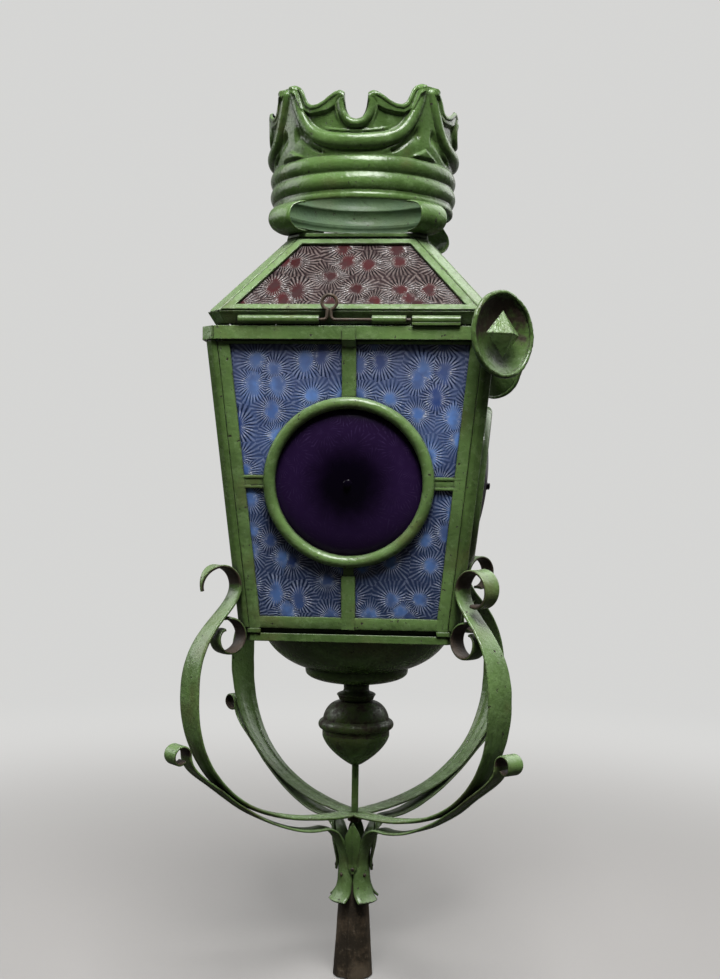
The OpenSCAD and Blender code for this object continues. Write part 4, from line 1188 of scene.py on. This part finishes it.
def quarter_pane(sx, sv):
    """Outline of one pane as (x, v) points: sx and sv say which quarter of the face it is."""
    inset = POST_W + GROOVE + PANE_EDGE
    end_v = PANE_EDGE if sv < 0 else FACE_HEAD - PANE_HEAD
    mid_v = RING_V + sv * BAR_GAP
    start = math.degrees(math.asin(BAR_GAP / PANE_HOLE_R))
    outline = [(sx * (face_half(mid_v) - inset), mid_v), (sx * (face_half(end_v) - inset), end_v),
               (sx * BAR_GAP, end_v)]
    for k in range(25):
        angle = math.radians(mix(90 - start, start, k / 24))
        outline.append((sx * PANE_HOLE_R * math.cos(angle), RING_V + sv * PANE_HOLE_R * math.sin(angle)))
    return outline


def slab(outline, back, front):
    """A flat plate in a face's frame with an outline of (x, v) points."""
    return skin([[(x, -n, v) for x, v in outline] for n in (back, front)])


# How far the stars are moved from one face to the next
PANE_SHIFT = (733, 911)
ROOF_SHIFT = (517, 313)


def pane_uv(points, side, shift):
    """Texture places in metres on a pane, with other stars on each side."""
    return [((x + shift[0] * side) * MM, (v + shift[1] * side) * MM) for x, _, v in points]


def body_faces():
    for side, name in enumerate(SIDES):
        frame_of = on_face(side)
        parts = [moved(glazing_frame(side), frame_of), bar_cap(side)]
        piece("came_" + name, joined(parts), "glazing_bars_" + name)
        outward = frame_of @ facing(RING_V)
        piece("bezel_" + name, moved(lens_ring(), outward), "lens_ring_" + name)
        eye = lens()
        piece("eye_" + name, moved(eye, outward), "lens_" + name, uv=flat_uv(eye[0]))
        quarters = [quarter_pane(sx, sv) for sx in (-1, 1) for sv in (-1, 1)]
        glass = joined([slab(outline, PANE_BACK, PANE_FRONT) for outline in quarters])
        uv = pane_uv(glass[0], side, PANE_SHIFT)
        piece("glass_" + name, moved(glass, frame_of), "panes_" + name, uv=uv)


# Roof glass

HIP_T = 2.5
HIP_CUT = 10
ROOF_SIDE_STRIP = 8
PANE_LAP = 3


def roof_glass():
    front = -HIP_T - GLASS_GAP
    foot = HIP_T * math.tan(ROOF_TILT) + SEAM + PANE_LAP + GLASS_T
    head = ROOF_LEN - SEAM - HIP_T * math.tan(ROOF_TILT) - PANE_LAP
    inset = HIP_CUT + ROOF_SIDE_STRIP - PANE_LAP
    a = HALF_EAVE - foot * math.sin(ROOF_TILT) - inset
    b = HALF_EAVE - head * math.sin(ROOF_TILT) - inset
    outline = [(-a, foot), (a, foot), (b, head), (-b, head)]
    parts = []
    uv = []
    for side in range(4):
        pane = slab(outline, front - GLASS_T, front)
        uv += pane_uv(pane[0], side, ROOF_SHIFT)
        parts.append(moved(pane, on_roof(side)))
    piece("roof_glass", joined(parts), "roof_panes", uv=uv)


# Crown

CROWN_T = 1.8
CROWN_R = 75.4
BAND_H = 7
RIB_H = 13.5
RIB_OUT = 3.5
# The sheet keeps a little inside its solid, so that its dents stay in it too
WALL_R = CROWN_R - 1
RIB_SWELL = RIB_OUT - 0.8
RIB_Z = CROWN_Z + BAND_H
CREST_Z = RIB_Z + 2 * RIB_H
CREST_H = CROWN_TOP_Z - CREST_Z
CREST_R = CROWN_R + RIB_OUT + 0.5
# Columns of mesh from the middle of a side to a corner, and rows on the ribs, below the notch and beside it
EIGHTH = 96
RIB_ROWS = 44
WALL_ROWS = 34
CREST_ROWS = 40
DIAGONAL = 45
NOTCH_W = 18.6
NOTCH_HALF = math.degrees(math.asin(NOTCH_W / 2 / CREST_R))
NOTCH_DEPTH = 0.545
NOTCH_Z = CROWN_TOP_Z - CREST_H * (NOTCH_DEPTH + 0.01)
NOTCH_ROUND = 2.6
# Angle from the middle of a side, and the edge's drop there as a share of the crest's height
CREST_KEYS = [
    (NOTCH_HALF, 0.21), (8.6, 0.187), (10.4, 0.18), (15, 0.23), (20, 0.30), (24, 0.333), (27.5, 0.333),
    (30, 0.30), (32, 0.21), (33.5, 0.135), (35.5, 0.085), (38.5, 0.05), (42, 0.025), (DIAGONAL, 0.035)]


def crest_height(angle):
    """Height of the crown's edge at an angle from the middle of a side."""
    turn = abs(angle)
    if turn > DIAGONAL:
        turn = 2 * DIAGONAL - turn
    drop = CREST_KEYS[-1][1]
    if turn < NOTCH_HALF:
        rise = 1 - (1 - (turn / NOTCH_HALF) ** NOTCH_ROUND) ** (1 / NOTCH_ROUND)
        drop = mix(NOTCH_DEPTH, CREST_KEYS[0][1], rise)
    else:
        for (a0, d0), (a1, d1) in zip(CREST_KEYS, CREST_KEYS[1:]):
            if a0 <= turn < a1:
                drop = mix(d0, d1, (turn - a0) / (a1 - a0))
    return CROWN_TOP_Z - CREST_H * drop


FESTOON_END = 41
# Heights over the ribs, and how far the embossing stands out or is sunk
FESTOON_LOW = 9.5
FESTOON_SAG = 12
FESTOON_RISE = 31
DIMPLE_HIGH = 19
DIMPLE_DROP = 15
FIELD_DEPTH = 1.8
RIM_HALF = 3.5
RIM_OUT = 3.9
WING_OUT = 2.8
HOLLOW_DEPTH = 2.6
BUMP_OUT = 2.2
CROWN_DENT = 0.45
CROWN_BEND = 0.9


def festoon_height(angle):
    """Height of the big hanging roll, which runs up into the corners."""
    share = abs(angle) / FESTOON_END
    return CREST_Z + FESTOON_LOW + FESTOON_SAG * share ** 2 + FESTOON_RISE * share ** 5.5


def dimple_height(angle):
    """Height of the slanting hollow between a festoon and the corner."""
    return CREST_Z + DIMPLE_HIGH - DIMPLE_DROP * ease(DIAGONAL - angle, 6, 24)


def round_line(height, low, high):
    """Points of a line on the crown, as distances round it and heights."""
    count = 4 * (high - low)
    angles = [mix(low, high, k / count) for k in range(count + 1)]
    return [(math.radians(a) * CREST_R, height(a)) for a in angles]


EDGE_LINE = round_line(crest_height, -20, 55)
FESTOON_LINE = round_line(festoon_height, -20, FESTOON_END)
DIMPLE_LINE = round_line(dimple_height, 22, 39)


def distance_to(line, angle, z):
    """Distance from a point of the crown to a line on it."""
    s = math.radians(angle) * CREST_R
    return min(math.hypot(s - a, z - b) for a, b in line)


def crown_wall(z):
    """Radius of the plain crown: a band, two round ribs and a wall that leans outwards."""
    if z < RIB_Z:
        return WALL_R + 0.7 * roll(z - CROWN_Z - 2.2, 2.2, 1.0)
    if z < CREST_Z:
        return WALL_R + RIB_SWELL * abs(math.sin(math.pi * (z - RIB_Z) / RIB_H)) ** 0.75
    return WALL_R + 0.9 * ease(z, CREST_Z, CREST_Z + 12) + 2.6 * (z - CREST_Z) / CREST_H


def festoon_relief(angle, z, hang, wide):
    """Embossing inside a festoon: a sunk field, the notch's thick rim and the wings beside it."""
    edge = distance_to(EDGE_LINE, angle, z)
    out = -FIELD_DEPTH * ease(hang, wide - 0.6, wide + 1.2)
    out += roll(hang - wide - 2.6, 1.2, 0.9) * ease(angle, 22, 14)
    rim = roll(edge - RIM_HALF, RIM_HALF, RIM_OUT)
    narrowed = 2.5 * ease(angle, 14, 24)
    wing = WING_OUT * ease(edge, 10.5 - narrowed, 8.2 - narrowed)
    wing += roll(edge - 1.6, 1.6, 0.9)
    return out + mix(rim, wing, ease(angle, 8.5, 13))


def corner_relief(angle, z, hang, wide):
    """Embossing between two festoons: a soft ridge, two slanting hollows and a bump on the rib."""
    off = DIAGONAL - angle
    hollow = distance_to(DIMPLE_LINE, angle, z) / mix(4.6, 1.5, ease(off, 5, 22))
    out = -HOLLOW_DEPTH * math.exp(-hollow * hollow) * ease(off, 2.5, 6.5)
    out += roll(hang - wide - 2.4, 1.8, 1.0) * ease(angle, 14, 22) * ease(angle, 40, 36)
    bump_top = CREST_Z + 8 * max(0.0, 1 - off / 12)
    out += BUMP_OUT * ease(z, bump_top + 1.2, bump_top - 2.0) * ease(off, 13, 8)
    return out


def crown_relief(angle, z):
    """How far the embossing stands out at an angle from the middle of a side."""
    hang = distance_to(FESTOON_LINE, angle, z)
    wide = mix(6.2, 4.6, ease(angle, 8, 38))
    out = roll(hang, wide, mix(4.2, 3.4, ease(angle, 8, 38)))
    if z > festoon_height(angle) and angle < FESTOON_END:
        out += festoon_relief(angle, z, hang, wide)
    else:
        out += corner_relief(angle, z, hang, wide) * ease(hang, wide - 1.0, wide + 1.0)
    return out * ease(z, CREST_Z, CREST_Z + 2.5)


def crown_column(angle):
    """Radius and height of each point up the crown at an angle from the middle of a side."""
    rows = [mix(CROWN_Z, CREST_Z, k / RIB_ROWS) for k in range(RIB_ROWS)]
    rows += [mix(CREST_Z, NOTCH_Z, k / WALL_ROWS) for k in range(WALL_ROWS)]
    rows += [mix(NOTCH_Z, crest_height(angle), k / CREST_ROWS) for k in range(CREST_ROWS + 1)]
    return [(crown_wall(z) + (crown_relief(angle, z) if z > CREST_Z else 0.0), z) for z in rows]


def crown():
    """The embossed crown as one sheet, with an outer and an inner skin."""
    columns = [crown_column(DIAGONAL * k / EIGHTH) for k in range(EIGHTH + 1)]
    rings = []
    uv = []
    for index in range(8 * EIGHTH):
        place = (index + EIGHTH) % (2 * EIGHTH) - EIGHTH
        turn = math.radians(DIAGONAL * index / EIGHTH - 90)
        flat = (math.cos(turn), math.sin(turn))
        outer = []
        for r, z in columns[abs(place)]:
            dent = CROWN_DENT * wobble(2.5 * flat[0], 2.5 * flat[1], z * 0.045)
            bend = CROWN_BEND * wobble(3 * flat[0], 3 * flat[1], 4.0) * ease(z, CREST_Z + 10, CROWN_TOP_Z)
            outer.append((r + dent, min(z + bend, CROWN_TOP_Z - 0.6)))
        lip = outer[-1]
        inner = [(r - CROWN_T, z) for r, z in outer]
        inner[-1] = (lip[0] - CROWN_T, lip[1] - 0.3)
        section = outer + [(lip[0] - CROWN_T / 2, lip[1] + 0.5)] + inner[::-1]
        rings.append([(r * flat[0], r * flat[1], z) for r, z in section])
        # The inner skin is flagged for the painted shade and reflection inside the crown
        uv += [(0.0, 0.0)] * (len(outer) + 1) + [(0.0, 1.0)] * len(inner)
    piece("crown_sheet", skin(rings, closed=True), "crown", uv=uv)


LEG_W = 24


def crown_legs():
    """Four bulging straps between the roof and the crown, bent round the axis."""
    foot_r = (2 * HALF_ROOF_TOP - HIP_CUT) / math.sqrt(2) - 2
    path = bezier((foot_r, LEG_Z + 1.0), (foot_r + 26, LEG_Z), (CROWN_R + 16, CROWN_Z),
                  (CROWN_R - CROWN_T / 2, CROWN_Z + 0.2), 40)

    def half_width(share, point):
        return LEG_W / 2 + 5 * ease(share, 0.72, 1.0) + 1.5 * ease(share, 0.25, 0.0)

    (points, faces), _ = strap(path, half_width, dished, CROWN_T, 4, 1.2)
    bent = []
    for x, y, z in points:
        angle = y / CROWN_R
        bent.append((x * math.cos(angle), x * math.sin(angle), z))
    piece("crown_straps", at_corners((bent, faces)), "crown_legs")


# Latch and rosettes

WIRE_R = 1.3


def tube(points, radius, sides=14):
    """A round wire along 3-D points that lie in a plane square to Y."""
    flat = [Vector((p.x, p.z)) for p in points]
    rings = []
    for index, point in enumerate(points):
        out = right_of(flat, index)
        ring = []
        for k in range(sides):
            angle = 2 * math.pi * k / sides
            ring.append((point.x + radius * math.cos(angle) * out.x, point.y + radius * math.sin(angle),
                         point.z + radius * math.cos(angle) * out.y))
        rings.append(ring)
    return skin(rings)


LOOP_R = 5.6
LOOP_X = -15
NECK_HALF = 1.4
NECK_BEND = 4


def latch():
    """The bolt: one wire bent up into a finger loop on a doubled neck."""
    y = (BOLT_LOW.y + BOLT_HIGH.y) / 2
    z = BOLT_LOW.z + WIRE_R
    centre = Vector((LOOP_X, BOLT_HIGH.z - WIRE_R - LOOP_R))
    neck_z = centre.y - math.sqrt(LOOP_R ** 2 - NECK_HALF ** 2)
    left, right = LOOP_X - NECK_HALF, LOOP_X + NECK_HALF
    line = [Vector((BOLT_LOW.x, z)), Vector((left - NECK_BEND, z))]
    line += bezier((left - NECK_BEND, z), (left, z), (left, z + 2), (left, neck_z), 12)[1:]
    start = math.degrees(math.atan2(neck_z - centre.y, -NECK_HALF)) % 360
    line += spiral(centre, LOOP_R, LOOP_R, start, 180 - start, 40)[1:]
    line += bezier((right, neck_z), (right, z + 2), (right, z), (right + NECK_BEND, z), 12)[1:]
    line += [Vector((BOLT_HIGH.x, z))]
    line = even_points(line, 0.9)
    piece("bolt_wire", tube([Vector((p.x, y, p.y)) for p in line], WIRE_R), "latch_bolt")


DISH_R = 32
DISH_DEPTH = 9
DISH_T = 1.2
DISH_FLAT = 7
DISH_RIM_R = 1.9
# The rim swells, so the dish is made a little smaller
DISH_SIZE = 0.965
DISH_SEGMENTS = 144
SHANK_R = 3.5
RAIL_BEVEL = 9
ROSETTE_AZIMUTHS = (-45, 45)


def rosettes():
    """Hammered dishes with a thick, uneven rim, painted darker inside towards the top as shade."""
    low, high = box_mm("rosette_dishes")
    z = (low.z + high.z) / 2
    rail_corner = (2 * (HALF_TOP + RAIL_OUT) - RAIL_BEVEL) / math.sqrt(2) + SEAM
    path = [Vector((r, DISH_T / 2 + DISH_DEPTH * (max(r - DISH_FLAT, 0) / (DISH_R - DISH_FLAT)) ** 2))
            for r in (mix(SHANK_R + SEAM, DISH_R, k / 20) for k in range(21))]
    rim = [path[-1] + DISH_RIM_R * Vector((math.cos(a), math.sin(a)))
           for a in (math.radians(36 * k) for k in range(10))]
    outwards = Matrix.Rotation(math.radians(90), 4, "Y")
    parts = []
    uv = []
    for index, azimuth in enumerate(ROSETTE_AZIMUTHS):
        seat = turn_z(azimuth) @ Matrix.Translation((rail_corner, 0, z)) @ outwards
        for outline in (ribbon(path, DISH_T), rim):
            flat_points, faces = lathe(outline, DISH_SEGMENTS)
            points = []
            for x, y, h in flat_points:
                out = math.hypot(x, y) / DISH_R
                bend = out ** 3 * wobble(x * 0.06, y * 0.06, index + 0.5)
                crimp = 0.5 * out ** 4 * wobble(x * 0.45, y * 0.45, index + 7.5)
                size = DISH_SIZE + 0.012 * bend
                points.append((x * size, y * size, h - 0.5 + 0.6 * bend + crimp))
                # Painted shade: inside the dish the dark brown patches grow towards the top; the rim gets a
                # little wear
                upper_shade = mix(0.72, 0.26, ease(x, -14, 20))
                uv.append((mix(0.34, upper_shade, ease(out, 0.98, 0.85)), 0.0))
            parts.append(moved((points, faces), seat))
    piece("rosette_shells", joined(parts), "rosette_dishes", uv=uv)


# Nodes that keep their solid's shape, by the radius of their worn edges
SOFTENED = {
    1.1: ["corner_post_" + corner for corner in CORNERS] + ["rosette_studs"],
    1.2: ["top_rails", "roof_hips", "roof_top_ring"],
    0.6: ["base_tray", "floor_plate", "roof_rim", "roof_frames"],
    0.4: ["bolt_guides", "bolt_keeper", "hinge_leaf_body", "hinge_leaf_roof", "candle_cup", "drip_pan",
          "rod_nut"],
    0.3: ["hinge_pin", "socket_rivets", "center_rod"],
}


# Stage, light and camera

# The floor near the lantern lies in a dim room and throws little light back
BOUNCE = (0.035, 0.033, 0.031)
PAPER = ((0.205, 0.197, 0.191), (0.225, 0.217, 0.211))
PALE = (0.655, 0.655, 0.645)
PALE_STRENGTH = 1.02
FLOOR_HALF = 60.0
FLOOR_DROP = 0.0005


def backdrop():
    """A pale floor that fades into the pale background on all sides."""
    corners = ((-1, -1), (1, -1), (1, 1), (-1, 1))
    points = [(x * FLOOR_HALF, y * FLOOR_HALF, -FLOOR_DROP) for x, y in corners]
    mesh = bpy.data.meshes.new("backdrop")
    mesh.from_pydata(points, [], [(0, 1, 2, 3)])
    f = Finish("pale_paper")
    place = f.place()
    grain = f.noise(place, 900, 4)
    near = f.blend(grain, *PAPER)
    path = f.node("LightPath").outputs
    seen = f.most(path["Is Camera Ray"], path["Is Transmission Ray"])
    behind = f.band(f.axes(place)["Y"], 0.3, 1.3, 0.0, 0.8)
    away = f.node("VectorMath", {0: place}, operation="LENGTH").outputs["Value"]
    far = f.band(away, 0.1, 1.5)
    shown = f.blend(far, near, BLACK)
    lit = f.blend(behind, BOUNCE, near)
    glow = f.times(seen, f.band(far, 0, 1, 0.2, PALE_STRENGTH))
    f.shade(Base_Color=f.blend(seen, lit, shown), Roughness=0.9, Specular_IOR_Level=0.0)
    f.shade(Emission_Color=PALE, Emission_Strength=glow)
    mesh.materials.append(f.material)
    placed("backdrop", mesh)


# Place and size in metres and power in watts of each lamp, and the point they all face
LAMPS = {
    "ceiling": ((0.2, -1.0, 2.2), 1.0, 90),
    "window": ((-2.0, 0.2, 1.5), 1.5, 23),
    "back": ((1.5, 1.3, 2.1), 2.4, 38),
}
LIT_POINT = Vector((0, 0, 0.45))


def lamps():
    for name, (place, size, power) in LAMPS.items():
        data = bpy.data.lights.new(name, "AREA")
        data.size = size
        data.energy = power
        obj = placed(name, data)
        obj.location = place
        obj.rotation_mode = "QUATERNION"
        obj.rotation_quaternion = (LIT_POINT - Vector(place)).to_track_quat("-Z", "Y")


def dim_room():
    """Soft light from above and from the sides, a pale wall behind and little from the front or below."""
    world = bpy.data.worlds.new("dim_room")
    world.use_nodes = True
    f = Nodes(world.node_tree)
    ray = f.axes(f.place("Generated"))
    path = f.node("LightPath").outputs
    room = f.times(f.ramp(ray["Z"], -0.1, 0.9, 0.045, 0.80), f.ramp(ray["Y"], -0.7, 0.1, 0.25, 1.0))
    wall = f.times(f.ramp(ray["Y"], -0.1, 0.6, 0.0, 0.5), f.ramp(ray["Z"], -0.15, 0.1, 0.0, 1.0))
    mirrored = f.most(path["Is Glossy Ray"], path["Is Transmission Ray"])
    mirrored = f.times(mirrored, f.ramp(ray["Y"], 0.0, 0.5, 0.0, 0.45))
    shown = f.times(path["Is Camera Ray"], PALE_STRENGTH)
    background = f.tree.nodes["Background"].inputs
    f.put(background["Color"], PALE)
    f.put(background["Strength"], f.most(f.most(room, wall), f.most(mirrored, shown)))
    bpy.context.scene.world = world


PHOTO_WIDTH = 720
FOCAL_PX = 1300
SENSOR = 36
CAMERA_AZIMUTH = 4.8
CAMERA_ROLL = 0.78
CAMERA_PLACE = (0.091, -1.0835, 0.408)
CENTRE_SHIFT = (0.8 / PHOTO_WIDTH, -4.2 / PHOTO_WIDTH)


def camera():
    data = bpy.data.cameras.new("camera")
    data.sensor_fit = "HORIZONTAL"
    data.sensor_width = SENSOR
    data.lens = SENSOR * FOCAL_PX / PHOTO_WIDTH
    data.shift_x, data.shift_y = CENTRE_SHIFT
    obj = placed("camera", data)
    level = Matrix.Rotation(math.radians(90), 4, "X")
    roll_turn = Matrix.Rotation(math.radians(CAMERA_ROLL), 4, "Z")
    obj.matrix_world = Matrix.Translation(CAMERA_PLACE) @ turn_z(CAMERA_AZIMUTH) @ level @ roll_turn
    bpy.context.scene.camera = obj


bpy.context.scene.view_settings.view_transform = "Standard"
for build in (camera, lamps, dim_room, backdrop, socket, leaves, arms, lower_straps, corner_scrolls, finial,
              collar, bowls, body_faces, roof_glass, crown, crown_legs, latch, rosettes):
    build()
for edge_width, worn_nodes in SOFTENED.items():
    for worn_node in worn_nodes:
        softened(worn_node, edge_width)
